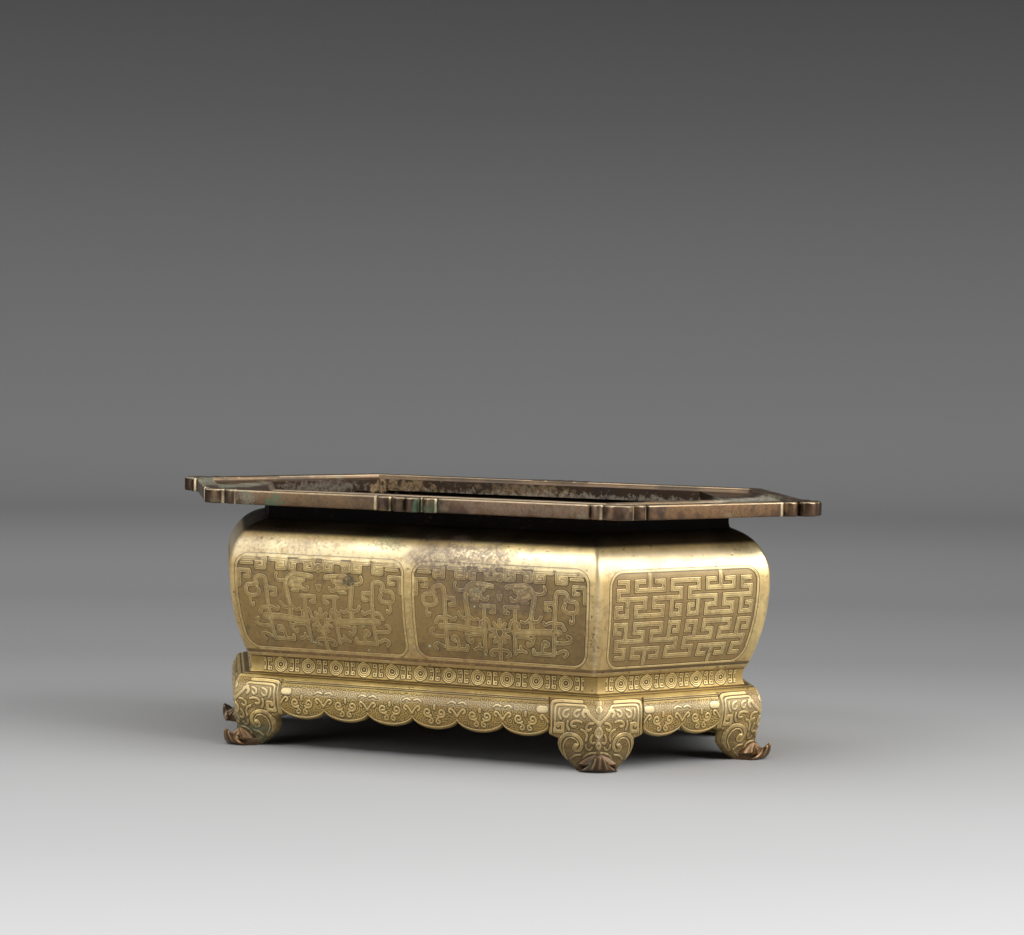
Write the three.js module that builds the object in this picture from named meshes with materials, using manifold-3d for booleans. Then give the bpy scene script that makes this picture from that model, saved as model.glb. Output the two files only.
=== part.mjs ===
// Bronze jardiniere: a low, elongated hexagonal planting bowl on six scroll feet.
// Millimetres, +Z up. The origin is on the ground under the middle of the bowl,
// +X runs along the long sides and -Y is the front.
//
// Every moulding goes round the bowl as six cast bars, one to a side, whose ends are
// mitred on the lines that join the corners of two hexagons. A section is drawn once
// as (half depth, height) points and is laid between those two hexagons on each side.

import * as THREE from 'three';
import Module from 'manifold-3d';
import { mergeVertices } from 'three/addons/utils/BufferGeometryUtils.js';

const wasm = await Module();
wasm.setup();

// Heights of the parts as they stand on each other, from the ground up
const FOOT_HEIGHT = 46;
const BASE_HEIGHT = 15;
const WAIST_RISE = 8.5;
const BODY_HEIGHT = 91.5;
const SHOULDER_DROP = 30.5;
const NECK_HEIGHT = 10.5;
const RIM_EDGE = 9.6;

// How far below the top of the feet the knee is widest, the panels end and the lappets
// part, and how far the lappets hang below that
const KNEE_DROP = 10.5;
const KNEE_PANEL_DROP = 26;
const LAPPET_DROP = 19.8;
const LAPPET_HANG = 6.6;

// Plan of the bowl: the half depth of the long sides at the belly, how much further from
// the middle the four short sides stand, and how the foot of the body, the top of the
// base, its waist and ledge, the knee and the ankle follow each other in and out
const BELLY_HALF_DEPTH = 123.6;
const END_REACH = 55;
const BODY_FOOT_SET_IN = 13.3;
const BASE_SET_IN = 3;
const WAIST_SET_IN = 3.8;
const LEDGE_SET_OUT = 6.5;
const KNEE_SET_OUT = 3.1;
const ANKLE_SET_IN = 3.7;
const SIDE_TURN = THREE.MathUtils.degToRad(60);

// Neck, mouth and flange
const NECK_SET_IN = 28.1;
const NECK_END_SET_OUT = 3;
const NECK_WALL = 5.5;
const NECK_SEAT_MARGIN = 1;
const MOUTH_SET_IN = 11.5;
const MOUTH_END_SET_IN = 6.3;
const RIM_OVERHANG = 31.5;
const RIM_END_OVERHANG = 56.2;
const RIM_END_ANGLE = THREE.MathUtils.degToRad(57.5);
const RIM_BAND = 9;
const RIM_COVE = 5.5;
const RIM_RECESS = 4.2;
const RIM_COVE_STEP = 1.2;
const MOUTH_LIP = 3.2;
const MOUTH_LIP_RISE = 3;

// Lobes on the edge of the flange: a pair at each tip, one round one at each side
// corner, two pairs at the middle of a long side, and a small one beside each corner
const TIP_LOBE_RADIUS = 6.5;
const TIP_LOBE_SET_OUT = 1.8;
const TIP_LOBE_FROM_TIP = 3.5;
const TIP_SMALL_LOBE_FROM_TIP = 16.2;
const SMALL_LOBE_RADIUS = 5.4;
const SMALL_LOBE_SET_IN = 1;
const CORNER_LOBE_RADIUS = 10;
const CORNER_LOBE_RISE = 0.25;
const CORNER_CREASE_ANGLE = THREE.MathUtils.degToRad(44);
const CORNER_SMALL_LOBE_WIDTH = 9.4;
const CORNER_SMALL_LOBE_RISE = 2.4;
const MIDDLE_LOBE_RADIUS = 4.7;
const MIDDLE_LOBE_SET_OUT = 1.8;
const MIDDLE_SMALL_LOBE_FROM_CENTRE = 16.6;
const MIDDLE_LOBE_FROM_CENTRE = 4.4;

// Walls, base moulding and floor
const BODY_WALL = 4;
const BASE_WALL = 5;
const LEDGE_WIDTH = 4.6;
const LEDGE_RISE = 2.6;
const BASE_FLANGE_SET_IN = 10.3;
const BASE_FLANGE = 3.5;
const APRON_WALL = 4;
const FLOOR_THICKNESS = 4;

// Lappets of the apron, and the knees between them
const LONG_SIDE_LAPPETS = 6;
const SHORT_SIDE_LAPPETS = 2;
const KNEE_WIDTH = 35.4;
const KNEE_PANEL_ROUND = 2.5;

// Scrolls of the feet: how far each reaches from the corner ridge at the back of the
// scroll and at the sole, and the raised band that winds in to its eye
const VOLUTE_REACH = 30.1;
const SOLE_REACH = 13;
const FOOT_WALL = 7;
const FOOT_WALL_TAPER = 12;
const SCROLL_BAND = 2.6;
const SCROLL_EYE_BAND = 1.5;
const SCROLL_RISE = 1.1;
const SCROLL_RADIUS = 8.8;
const SCROLL_EYE_RADIUS = 2.8;
const SCROLL_EYE_HEIGHT = 14.6;
const SCROLL_EYE_INSET = 9.5;
const SCROLL_TURNS = 1.35;
const SCROLL_START = THREE.MathUtils.degToRad(18);

// Toes
const TOE_REACH = 11.4;
const TOE_SOLE_REACH = 4.5;
const TOE_HALF_WIDTH = 13;
const TOE_HEIGHT = 10;
const TOE_LIP = 2.6;
const TOE_END_HEIGHT = 2;
const TOE_CREST = 1.2;
const TOE_BOW = 10.5;
const TOE_RIBS = 5;
const TOE_RIB_DEPTH = 0.8;

// Clearances
const MITRE_GAP = 0.36;
const SEAT_GAP = 0.3;
const CUT_MARGIN = 1;

// Smoothness of the curves
const SHOULDER_STEPS = 9;
const WALL_STEPS = 8;
const KNEE_STEPS = 11;
const ARC_STEPS = 7;
const SMALL_ARC_STEPS = 4;
const CORNER_STEPS = 9;
const LAPPET_STEPS = 10;
const SCROLL_STEPS = 18;
const TOE_STEPS_PER_RIB = 4;

const BASE_BOTTOM = FOOT_HEIGHT;
const WAIST_HEIGHT = BASE_BOTTOM + WAIST_RISE;
const BODY_BOTTOM = BASE_BOTTOM + BASE_HEIGHT;
const SHOULDER_TOP = BODY_BOTTOM + BODY_HEIGHT;
const BELLY_HEIGHT = SHOULDER_TOP - SHOULDER_DROP;
const RIM_UNDERSIDE = SHOULDER_TOP + NECK_HEIGHT;
const RIM_TOP = RIM_UNDERSIDE + RIM_EDGE;
const KNEE_HEIGHT = FOOT_HEIGHT - KNEE_DROP;
const KNEE_PANEL_BOTTOM = FOOT_HEIGHT - KNEE_PANEL_DROP;
const LAPPET_NOTCH = FOOT_HEIGHT - LAPPET_DROP;
const LAPPET_BOTTOM = LAPPET_NOTCH - LAPPET_HANG;

const BODY_FOOT_HALF_DEPTH = BELLY_HALF_DEPTH - BODY_FOOT_SET_IN;
const BASE_HALF_DEPTH = BODY_FOOT_HALF_DEPTH - BASE_SET_IN;
const WAIST_HALF_DEPTH = BASE_HALF_DEPTH - WAIST_SET_IN;
const LEDGE_HALF_DEPTH = BASE_HALF_DEPTH + LEDGE_SET_OUT;
const KNEE_HALF_DEPTH = LEDGE_HALF_DEPTH + KNEE_SET_OUT;
const ANKLE_HALF_DEPTH = KNEE_HALF_DEPTH - ANKLE_SET_IN;
const NECK_HALF_DEPTH = BELLY_HALF_DEPTH - NECK_SET_IN;
const BASE_END_REACH = END_REACH + BASE_SET_IN;

const HALF_TURN = Math.PI / 6;
const BASE_SPINE_HALF = BASE_END_REACH / Math.cos(HALF_TURN);
const NECK_HALF_LENGTH = (NECK_HALF_DEPTH + END_REACH) / Math.cos(HALF_TURN) + NECK_END_SET_OUT;
const MOUTH_HALF_DEPTH = NECK_HALF_DEPTH - MOUTH_SET_IN;
const MOUTH_HALF_LENGTH = NECK_HALF_LENGTH - MOUTH_END_SET_IN;
const RIM_HALF_DEPTH = NECK_HALF_DEPTH + RIM_OVERHANG;
const RIM_HALF_LENGTH = NECK_HALF_LENGTH + RIM_END_OVERHANG;
const SIDE_NAMES = ['front', 'right_front', 'right_back', 'back', 'left_back', 'left_front'];
const CORNER_NAMES = ['front_left', 'front_right', 'right', 'back_right', 'back_left', 'left'];
const isLongSide = (side) => side % 3 === 0;
const isTip = (corner) => corner % 3 === 2;

// Finishes

const bronze = (color, roughness, metalness) =>
  new THREE.MeshStandardMaterial({ color, roughness, metalness });

const finishes = {
  rim: bronze(0x6d5340, 0.42, 0.9),
  neck: bronze(0x35261e, 0.6, 0.7),
  body: bronze(0xb8924e, 0.34, 0.95),
  base: bronze(0xb08a45, 0.38, 0.95),
  apron: bronze(0xa98442, 0.4, 0.95),
  foot: bronze(0x9d7a3e, 0.42, 0.92),
  floor: bronze(0x3a2d26, 0.7, 0.6),
};

// Plan outlines

// Corners of a hexagon that is symmetrical about both axes, from the front left one
// and counterclockwise; its end angle is the slope of the short sides.
function hexagon(halfDepth, halfLength, endAngle = SIDE_TURN) {
  const shoulder = halfLength - halfDepth / Math.tan(endAngle);
  return [
    new THREE.Vector2(-shoulder, -halfDepth),
    new THREE.Vector2(shoulder, -halfDepth),
    new THREE.Vector2(halfLength, 0),
    new THREE.Vector2(shoulder, halfDepth),
    new THREE.Vector2(-shoulder, halfDepth),
    new THREE.Vector2(-halfLength, 0),
  ];
}

// The outlines of the body are equal offsets of one line along its middle, and so are
// those of the base, whose line is longer.
const evenHexagon = (halfDepth, endReach) =>
  hexagon(halfDepth, (halfDepth + endReach) / Math.cos(HALF_TURN));

const evenRing = (from, to, endReach) => ({
  from,
  to,
  inner: evenHexagon(from, endReach),
  outer: evenHexagon(to, endReach),
});

const bodyRing = evenRing(NECK_HALF_DEPTH, BELLY_HALF_DEPTH, END_REACH);
const baseRing = evenRing(WAIST_HALF_DEPTH, LEDGE_HALF_DEPTH, BASE_END_REACH);
const neckRing = {
  from: NECK_HALF_DEPTH - NECK_WALL,
  to: NECK_HALF_DEPTH,
  inner: hexagon(NECK_HALF_DEPTH - NECK_WALL,
    NECK_HALF_LENGTH - NECK_WALL / Math.cos(HALF_TURN)),
  outer: hexagon(NECK_HALF_DEPTH, NECK_HALF_LENGTH),
};
const rimRing = {
  from: MOUTH_HALF_DEPTH,
  to: RIM_HALF_DEPTH,
  inner: hexagon(MOUTH_HALF_DEPTH, MOUTH_HALF_LENGTH),
  outer: hexagon(RIM_HALF_DEPTH, RIM_HALF_LENGTH, RIM_END_ANGLE),
};

// The point of a ring's mitre line at one corner, for a half depth of the long sides
function ringPoint(ring, corner, halfDepth) {
  const share = (halfDepth - ring.from) / (ring.to - ring.from);
  return new THREE.Vector2().lerpVectors(ring.inner[corner % 6], ring.outer[corner % 6], share);
}

// Solids

function toSolid(geometry) {
  const bare = geometry.clone();
  bare.deleteAttribute('normal');
  bare.deleteAttribute('uv');
  const merged = mergeVertices(bare, 1e-4);
  return new wasm.Manifold(new wasm.Mesh({
    numProp: 3,
    vertProperties: new Float32Array(merged.attributes.position.array),
    triVerts: new Uint32Array(merged.index.array),
  }));
}

function toGeometry(solid) {
  const { vertProperties, triVerts } = solid.getMesh();
  const geometry = new THREE.BufferGeometry();
  geometry.setAttribute('position', new THREE.BufferAttribute(new Float32Array(vertProperties), 3));
  geometry.setIndex(new THREE.BufferAttribute(new Uint32Array(triVerts), 1));
  geometry.computeVertexNormals();
  return geometry;
}

// An outline of (first, second) points drawn out along a third direction
function prism(outline, depth) {
  return new THREE.ExtrudeGeometry(new THREE.Shape(outline), { depth, bevelEnabled: false });
}

// Moves each vertex by a rule; a rule that mirrors the shape also turns its faces over.
function remap(geometry, rule, mirrored = false) {
  const position = geometry.attributes.position;
  const point = new THREE.Vector3();
  for (let i = 0; i < position.count; i += 1) {
    rule(point.fromBufferAttribute(position, i));
    position.setXYZ(i, point.x, point.y, point.z);
  }
  if (mirrored) {
    for (let i = 0; i < position.count; i += 3) {
      const first = new THREE.Vector3().fromBufferAttribute(position, i);
      const last = new THREE.Vector3().fromBufferAttribute(position, i + 2);
      position.setXYZ(i, last.x, last.y, last.z);
      position.setXYZ(i + 2, first.x, first.y, first.z);
    }
  }
  return geometry;
}

// A bar along one side: the (half depth, height) section reaches both mitre lines,
// less half of the gap.
function mitredBar(side, section, ring, gap = MITRE_GAP) {
  const start = ring.outer[side];
  const end = ring.outer[(side + 1) % 6];
  const along = new THREE.Vector2().subVectors(end, start).normalize();
  return remap(prism(section, 1), (point) => {
    const nearEnd = point.z < 0.5;
    const plan = ringPoint(ring, nearEnd ? side + 1 : side, point.x);
    plan.addScaledVector(along, (nearEnd ? -1 : 1) * gap / 2);
    point.set(plan.x, plan.y, point.y);
  });
}

// Section lines

// Points of an arc about a centre, from one angle to another, which is elliptical
// where its height radius isn't the same
function arc(centre, radius, from, to, steps = ARC_STEPS, heightRadius = radius) {
  const points = [];
  for (let i = 0; i <= steps; i += 1) {
    const angle = from + (to - from) * i / steps;
    points.push(new THREE.Vector2(
      centre.x + radius * Math.cos(angle),
      centre.y + heightRadius * Math.sin(angle),
    ));
  }
  return points;
}

// The shoulder is a quarter of a squarish ellipse between neck and belly, and the wall
// below it draws in towards the foot by a power of the drop.
const SHOULDER_POWER = 1.9;
const WALL_POWER = 2.2;

function bodyLine() {
  const line = [];
  const shoulderWidth = BELLY_HALF_DEPTH - NECK_HALF_DEPTH;
  const shoulderDrop = SHOULDER_TOP - BELLY_HEIGHT;
  for (let i = 0; i < SHOULDER_STEPS; i += 1) {
    const angle = (i / SHOULDER_STEPS) * Math.PI / 2;
    line.push(new THREE.Vector2(
      NECK_HALF_DEPTH + shoulderWidth * Math.sin(angle) ** (2 / SHOULDER_POWER),
      BELLY_HEIGHT + shoulderDrop * Math.cos(angle) ** (2 / SHOULDER_POWER),
    ));
  }
  for (let i = 0; i <= WALL_STEPS; i += 1) {
    const drop = i / WALL_STEPS;
    line.push(new THREE.Vector2(
      BELLY_HALF_DEPTH - (BELLY_HALF_DEPTH - BODY_FOOT_HALF_DEPTH) * drop ** WALL_POWER,
      BELLY_HEIGHT - (BELLY_HEIGHT - BODY_BOTTOM) * drop,
    ));
  }
  return line;
}

// The same line moved inwards by a wall; a downward line has its inside on the left
// hand side of the section, where the half depth is smaller.
function inwardLine(line, wall) {
  return line.map((point, i) => {
    const before = line[Math.max(i - 1, 0)];
    const after = line[Math.min(i + 1, line.length - 1)];
    const run = new THREE.Vector2().subVectors(after, before).normalize();
    return new THREE.Vector2(point.x + run.y * wall, point.y - run.x * wall);
  });
}

// A wall section between a line and its inward copy, whose ends are cut level
function wallSection(line, wall) {
  const inside = inwardLine(line, wall);
  inside[0].y = line[0].y;
  inside[inside.length - 1].y = line[line.length - 1].y;
  return [...inside, ...line.slice().reverse()];
}

// Half depth of the rolled apron and knee at a height: it swells from the ledge to the
// knee and draws in again to the ankle
const KNEE_RISE_POWER = 2;
const KNEE_FALL_POWER = 1.6;
const ANKLE_HEIGHT = 13;

function kneeHalfDepth(height) {
  if (height >= KNEE_HEIGHT) {
    const share = (height - KNEE_HEIGHT) / (BASE_BOTTOM - KNEE_HEIGHT);
    return KNEE_HALF_DEPTH - (KNEE_HALF_DEPTH - LEDGE_HALF_DEPTH) * share ** KNEE_RISE_POWER;
  }
  const share = Math.min((KNEE_HEIGHT - height) / (KNEE_HEIGHT - ANKLE_HEIGHT), 1);
  return KNEE_HALF_DEPTH - (KNEE_HALF_DEPTH - ANKLE_HALF_DEPTH) * share ** KNEE_FALL_POWER;
}

function kneeLine(bottom) {
  const line = [];
  for (let i = 0; i <= KNEE_STEPS; i += 1) {
    const height = BASE_BOTTOM + (bottom - BASE_BOTTOM) * i / KNEE_STEPS;
    line.push(new THREE.Vector2(kneeHalfDepth(height), height));
  }
  return line;
}

// Rim

// The edge of the flange is drawn side by side as (along, outward) points from the
// side's first corner. A lobe on it is an arc whose centre is set in from the edge line.
// The lobes at the corners run a little past the mitre line, where the bar's end cuts
// them.
const LOBE_PAST_MITRE = 0.15;

function edgeLobe(along, radius, setIn) {
  const foot = Math.asin(setIn / radius);
  return arc(new THREE.Vector2(along, -setIn), radius, Math.PI - foot, foot);
}

// Two lobes meet at a tip in a crease on the mitre line, which slopes away from the
// edge line by the given angle. This is the lobe of one side, with the small one by it.
function tipLobes(mitreAngle) {
  const centre = new THREE.Vector2(TIP_LOBE_FROM_TIP, TIP_LOBE_SET_OUT);
  const mitre = new THREE.Vector2(-Math.cos(mitreAngle), Math.sin(mitreAngle));
  const near = centre.dot(mitre);
  const offLine = centre.lengthSq() - near ** 2;
  const crease = mitre.multiplyScalar(near + Math.sqrt(TIP_LOBE_RADIUS ** 2 - offLine));
  const start = crease.sub(centre).angle() + LOBE_PAST_MITRE;
  const foot = Math.asin(-TIP_LOBE_SET_OUT / TIP_LOBE_RADIUS);
  return [
    ...arc(centre, TIP_LOBE_RADIUS, start, foot, CORNER_STEPS),
    ...edgeLobe(TIP_SMALL_LOBE_FROM_TIP, SMALL_LOBE_RADIUS, SMALL_LOBE_SET_IN),
  ];
}

// A side corner is one round lobe about the mitre line. This is its half on one side,
// as far as its crease, then the small lobe by it and the step up to the edge line.
function cornerLobes(mitreAngle) {
  const drop = CORNER_LOBE_RADIUS - CORNER_LOBE_RISE;
  const centre = new THREE.Vector2(drop / Math.tan(mitreAngle), -drop);
  const start = Math.PI - mitreAngle + LOBE_PAST_MITRE;
  const round = arc(centre, CORNER_LOBE_RADIUS, start, CORNER_CREASE_ANGLE);
  const crease = round[round.length - 1];
  const half = CORNER_SMALL_LOBE_WIDTH / 2;
  const radius = (half ** 2 + CORNER_SMALL_LOBE_RISE ** 2) / (2 * CORNER_SMALL_LOBE_RISE);
  const small = edgeLobe(0, radius, radius - CORNER_SMALL_LOBE_RISE)
    .map((point) => new THREE.Vector2(crease.x + half + point.x, crease.y + point.y));
  return [...round, ...small.slice(1), new THREE.Vector2(crease.x + 2 * half, 0)];
}

function angleToEdge(side, corner) {
  const mitre = new THREE.Vector2().subVectors(rimRing.inner[corner], rimRing.outer[corner]);
  const along = new THREE.Vector2().subVectors(
    rimRing.outer[(side + 1) % 6], rimRing.outer[side]);
  const angle = Math.acos(mitre.dot(along) / mitre.length() / along.length());
  return corner === side ? angle : Math.PI - angle;
}

const mirrored = (points, length) =>
  points.map((point) => new THREE.Vector2(length - point.x, point.y)).reverse();

function middleLobes(centre) {
  const half = [
    ...edgeLobe(centre - MIDDLE_SMALL_LOBE_FROM_CENTRE, SMALL_LOBE_RADIUS, SMALL_LOBE_SET_IN),
    ...edgeLobe(centre - MIDDLE_LOBE_FROM_CENTRE, MIDDLE_LOBE_RADIUS, -MIDDLE_LOBE_SET_OUT),
  ];
  return [...half, ...mirrored(half, 2 * centre)];
}

// Plan outline of one side of the flange: its lobed edge, and ends past the mitres
function rimPlan(side) {
  const next = (side + 1) % 6;
  const start = rimRing.outer[side];
  const along = new THREE.Vector2().subVectors(rimRing.outer[next], start);
  const length = along.length();
  along.normalize();
  const outward = new THREE.Vector2(along.y, -along.x);
  const lobesAt = (corner, angle) => (isTip(corner) ? tipLobes(angle) : cornerLobes(angle));
  const edge = [
    ...lobesAt(side, angleToEdge(side, side)),
    ...(isLongSide(side) ? middleLobes(length / 2) : []),
    ...mirrored(lobesAt(next, angleToEdge(side, next)), length),
  ].map((point) => start.clone()
    .addScaledVector(along, point.x)
    .addScaledVector(outward, point.y));
  const inside = MOUTH_HALF_DEPTH - CUT_MARGIN;
  return [
    ...edge,
    ringPoint(rimRing, next, inside).addScaledVector(along, CUT_MARGIN),
    ringPoint(rimRing, side, inside).addScaledVector(along, -CUT_MARGIN),
  ];
}

// From the mouth outwards: the raised lip, the recessed flat, the cove that climbs to
// the band with a step, and the band, drawn wide enough to cut the lobes from
function rimSection() {
  const recess = RIM_TOP - RIM_RECESS;
  const bandStart = RIM_HALF_DEPTH - RIM_BAND;
  const beyond = RIM_HALF_DEPTH + 2 * RIM_BAND;
  const coveTop = RIM_TOP - RIM_COVE_STEP;
  const coveFoot = new THREE.Vector2(bandStart - RIM_COVE, coveTop);
  const lipFoot = new THREE.Vector2(MOUTH_HALF_DEPTH, recess);
  return [
    new THREE.Vector2(MOUTH_HALF_DEPTH, RIM_UNDERSIDE),
    new THREE.Vector2(beyond, RIM_UNDERSIDE),
    new THREE.Vector2(beyond, RIM_TOP),
    new THREE.Vector2(bandStart, RIM_TOP),
    ...arc(coveFoot, RIM_COVE, 0, -Math.PI / 2, SMALL_ARC_STEPS, coveTop - recess),
    ...arc(lipFoot, MOUTH_LIP, 0, Math.PI / 2, SMALL_ARC_STEPS, MOUTH_LIP_RISE),
  ];
}

function makeRim(side) {
  const bar = mitredBar(side, rimSection(), rimRing);
  const cutter = prism(rimPlan(side), RIM_EDGE + 2 * CUT_MARGIN)
    .translate(0, 0, RIM_UNDERSIDE - CUT_MARGIN);
  return toGeometry(toSolid(bar).intersect(toSolid(cutter)));
}

// Neck, body, base and floor

function makeNeck(side) {
  const section = [
    new THREE.Vector2(NECK_HALF_DEPTH - NECK_WALL, SHOULDER_TOP),
    new THREE.Vector2(NECK_HALF_DEPTH, SHOULDER_TOP),
    new THREE.Vector2(NECK_HALF_DEPTH, RIM_UNDERSIDE),
    new THREE.Vector2(NECK_HALF_DEPTH - NECK_WALL, RIM_UNDERSIDE),
  ];
  return mitredBar(side, section, neckRing);
}

// The shoulder runs inwards under the neck as a level seat.
function makeBody(side) {
  const section = wallSection(bodyLine(), BODY_WALL);
  const seatEdge = NECK_HALF_DEPTH - NECK_WALL - NECK_SEAT_MARGIN;
  section[0].set(seatEdge, SHOULDER_TOP - BODY_WALL);
  section.push(new THREE.Vector2(seatEdge, SHOULDER_TOP));
  return mitredBar(side, section, bodyRing);
}

// A rounded ledge, a hollow that draws in to the waist and flares out under the body,
// and a flange inside that carries the floor
function makeBase(side) {
  const ledge = new THREE.Vector2(LEDGE_HALF_DEPTH - LEDGE_WIDTH, BASE_BOTTOM);
  const lowerHollow = new THREE.Vector2(ledge.x, WAIST_HEIGHT);
  const lowerDepth = WAIST_HEIGHT - BASE_BOTTOM - LEDGE_RISE;
  const upperHollow = new THREE.Vector2(BASE_HALF_DEPTH, WAIST_HEIGHT);
  const flangeEdge = BASE_HALF_DEPTH - BASE_FLANGE_SET_IN;
  const quarter = Math.PI / 2;
  const section = [
    new THREE.Vector2(flangeEdge, BODY_BOTTOM),
    new THREE.Vector2(flangeEdge, BODY_BOTTOM - BASE_FLANGE),
    new THREE.Vector2(WAIST_HALF_DEPTH - BASE_WALL, BODY_BOTTOM - BASE_FLANGE),
    new THREE.Vector2(WAIST_HALF_DEPTH - BASE_WALL, WAIST_HEIGHT),
    new THREE.Vector2(LEDGE_HALF_DEPTH - BASE_WALL, BASE_BOTTOM),
    ...arc(ledge, LEDGE_WIDTH, 0, quarter, SMALL_ARC_STEPS, LEDGE_RISE),
    ...arc(lowerHollow, ledge.x - WAIST_HALF_DEPTH, -quarter, -2 * quarter,
      SMALL_ARC_STEPS, lowerDepth).slice(1),
    ...arc(upperHollow, WAIST_SET_IN, 2 * quarter, quarter,
      SMALL_ARC_STEPS, BODY_BOTTOM - WAIST_HEIGHT).slice(1),
  ];
  return mitredBar(side, section, baseRing);
}

// The floor lies on the base flange and fills the foot of the bowl.
function makeFloor() {
  const edge = BODY_FOOT_HALF_DEPTH - BODY_WALL - SEAT_GAP;
  return prism(evenHexagon(edge, END_REACH), FLOOR_THICKNESS).translate(0, 0, BODY_BOTTOM);
}

// Apron

// Lower edge of the apron, from one knee to the other: hanging round lappets that
// meet in sharp notches
const LAPPET_POWER = 1.2;

function lappetEdge(from, to, count) {
  const points = [];
  const width = (to - from) / count;
  for (let i = 0; i < count; i += 1) {
    for (let step = 0; step < LAPPET_STEPS; step += 1) {
      const angle = Math.PI * step / LAPPET_STEPS;
      const share = Math.sin(angle) ** LAPPET_POWER;
      points.push(new THREE.Vector2(
        from + width * (i + (1 - Math.cos(angle)) / 2),
        LAPPET_NOTCH - (LAPPET_NOTCH - LAPPET_BOTTOM) * share,
      ));
    }
  }
  points.push(new THREE.Vector2(to, LAPPET_NOTCH));
  return points;
}

// The apron between two feet is cut in a frame whose x axis runs along its side and
// whose y axis points inwards. Its ends follow the ends of the knees, which slope as
// the mitre lines do.
function makeApron(side) {
  const reachAt = (halfDepth) => (isLongSide(side) ? BASE_SPINE_HALF : 0)
    + halfDepth * Math.tan(HALF_TURN) - KNEE_WIDTH - SEAT_GAP;
  const reach = reachAt(KNEE_HALF_DEPTH);
  const count = isLongSide(side) ? LONG_SIDE_LAPPETS : SHORT_SIDE_LAPPETS;
  const roll = wallSection(kneeLine(LAPPET_BOTTOM - CUT_MARGIN), APRON_WALL);
  const bar = remap(prism(roll, 1), (point) => {
    point.set(reachAt(point.x) * (1 - 2 * point.z), -point.x, point.y);
  });
  const elevation = [
    ...lappetEdge(-reach, reach, count),
    new THREE.Vector2(reach, BASE_BOTTOM + CUT_MARGIN),
    new THREE.Vector2(-reach, BASE_BOTTOM + CUT_MARGIN),
  ];
  const cutter = prism(elevation, KNEE_HALF_DEPTH).rotateX(Math.PI / 2);
  cutter.translate(0, -KNEE_HALF_DEPTH / 2, 0);
  return toGeometry(toSolid(bar).intersect(toSolid(cutter)));
}

// Feet

// A foot is two wings, one along each side that meets at its corner. A wing is shaped
// flat, as (distance from the corner ridge, height, half depth), and then folded round
// the corner, where the ridge lies on the mitre line.
function foldWing(geometry, hand) {
  return remap(geometry, (point) => {
    const fromRidge = point.x;
    const height = point.y;
    const ridge = point.z / Math.cos(HALF_TURN);
    point.set(
      ridge - fromRidge * Math.sin(HALF_TURN),
      hand * fromRidge * Math.cos(HALF_TURN),
      height,
    );
  }, hand < 0);
}

// Front view of a wing, which passes the ends of the slab by a margin: the square knee
// panel, the drop at its lower corner, the round back of the scroll and the sole. The
// control points of the back set its roundness.
const BACK_TOP_PULL = 0.55;
const BACK_SOLE_PULL = 0.25;
const BACK_SOLE_RISE = 3.5;
const BACK_STEPS = 8;

function wingOutline() {
  const backStart = THREE.MathUtils.lerp(SOLE_REACH, VOLUTE_REACH, BACK_SOLE_PULL);
  const back = new THREE.CubicBezierCurve(
    new THREE.Vector2(SOLE_REACH, 0),
    new THREE.Vector2(backStart, BACK_SOLE_RISE),
    new THREE.Vector2(VOLUTE_REACH, KNEE_PANEL_BOTTOM * BACK_TOP_PULL),
    new THREE.Vector2(VOLUTE_REACH, KNEE_PANEL_BOTTOM),
  );
  return [
    new THREE.Vector2(-CUT_MARGIN, -CUT_MARGIN),
    new THREE.Vector2(SOLE_REACH, -CUT_MARGIN),
    ...back.getPoints(BACK_STEPS),
    new THREE.Vector2(KNEE_WIDTH - KNEE_PANEL_ROUND, KNEE_PANEL_BOTTOM),
    new THREE.Vector2(KNEE_WIDTH, KNEE_PANEL_BOTTOM + KNEE_PANEL_ROUND),
    new THREE.Vector2(KNEE_WIDTH, BASE_BOTTOM + CUT_MARGIN),
    new THREE.Vector2(-CUT_MARGIN, BASE_BOTTOM + CUT_MARGIN),
  ];
}

// Section of a wing: the knee line outside, and a heavier wall inside the ankle
function wingSection() {
  const outside = kneeLine(0);
  const inside = outside.map((point) => {
    const share = (point.y - KNEE_PANEL_BOTTOM) / FOOT_WALL_TAPER;
    const wall = THREE.MathUtils.lerp(FOOT_WALL, APRON_WALL, THREE.MathUtils.clamp(share, 0, 1));
    return new THREE.Vector2(point.x - wall, point.y);
  });
  return [...inside, ...outside.reverse()];
}

// The raised band of the scroll: a spiral strip that winds in to its eye
function scrollOutline() {
  const eye = new THREE.Vector2(VOLUTE_REACH - SCROLL_EYE_INSET, SCROLL_EYE_HEIGHT);
  const outer = [];
  const inner = [];
  for (let i = 0; i <= SCROLL_STEPS; i += 1) {
    const share = i / SCROLL_STEPS;
    const angle = SCROLL_START + share * SCROLL_TURNS * 2 * Math.PI;
    const radius = THREE.MathUtils.lerp(SCROLL_RADIUS, SCROLL_EYE_RADIUS, share);
    const band = THREE.MathUtils.lerp(SCROLL_BAND, SCROLL_EYE_BAND, share);
    const direction = new THREE.Vector2(Math.cos(angle), Math.sin(angle));
    outer.push(eye.clone().addScaledVector(direction, radius));
    inner.push(eye.clone().addScaledVector(direction, radius - band));
  }
  return [...outer, ...inner.reverse()];
}

function makeWing(hand) {
  const slab = remap(prism(wingSection(), KNEE_WIDTH + CUT_MARGIN), (point) => {
    point.set(point.z, point.y, point.x);
  }, true);
  const front = prism(wingOutline(), KNEE_HALF_DEPTH).translate(0, 0, KNEE_HALF_DEPTH / 2);
  const scroll = prism(scrollOutline(), FOOT_WALL / 2 + SCROLL_RISE)
    .translate(0, 0, ANKLE_HALF_DEPTH - FOOT_WALL / 2);
  const flat = toSolid(slab).intersect(toSolid(front)).add(toSolid(scroll));
  return toSolid(foldWing(toGeometry(flat).toNonIndexed(), hand));
}

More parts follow.
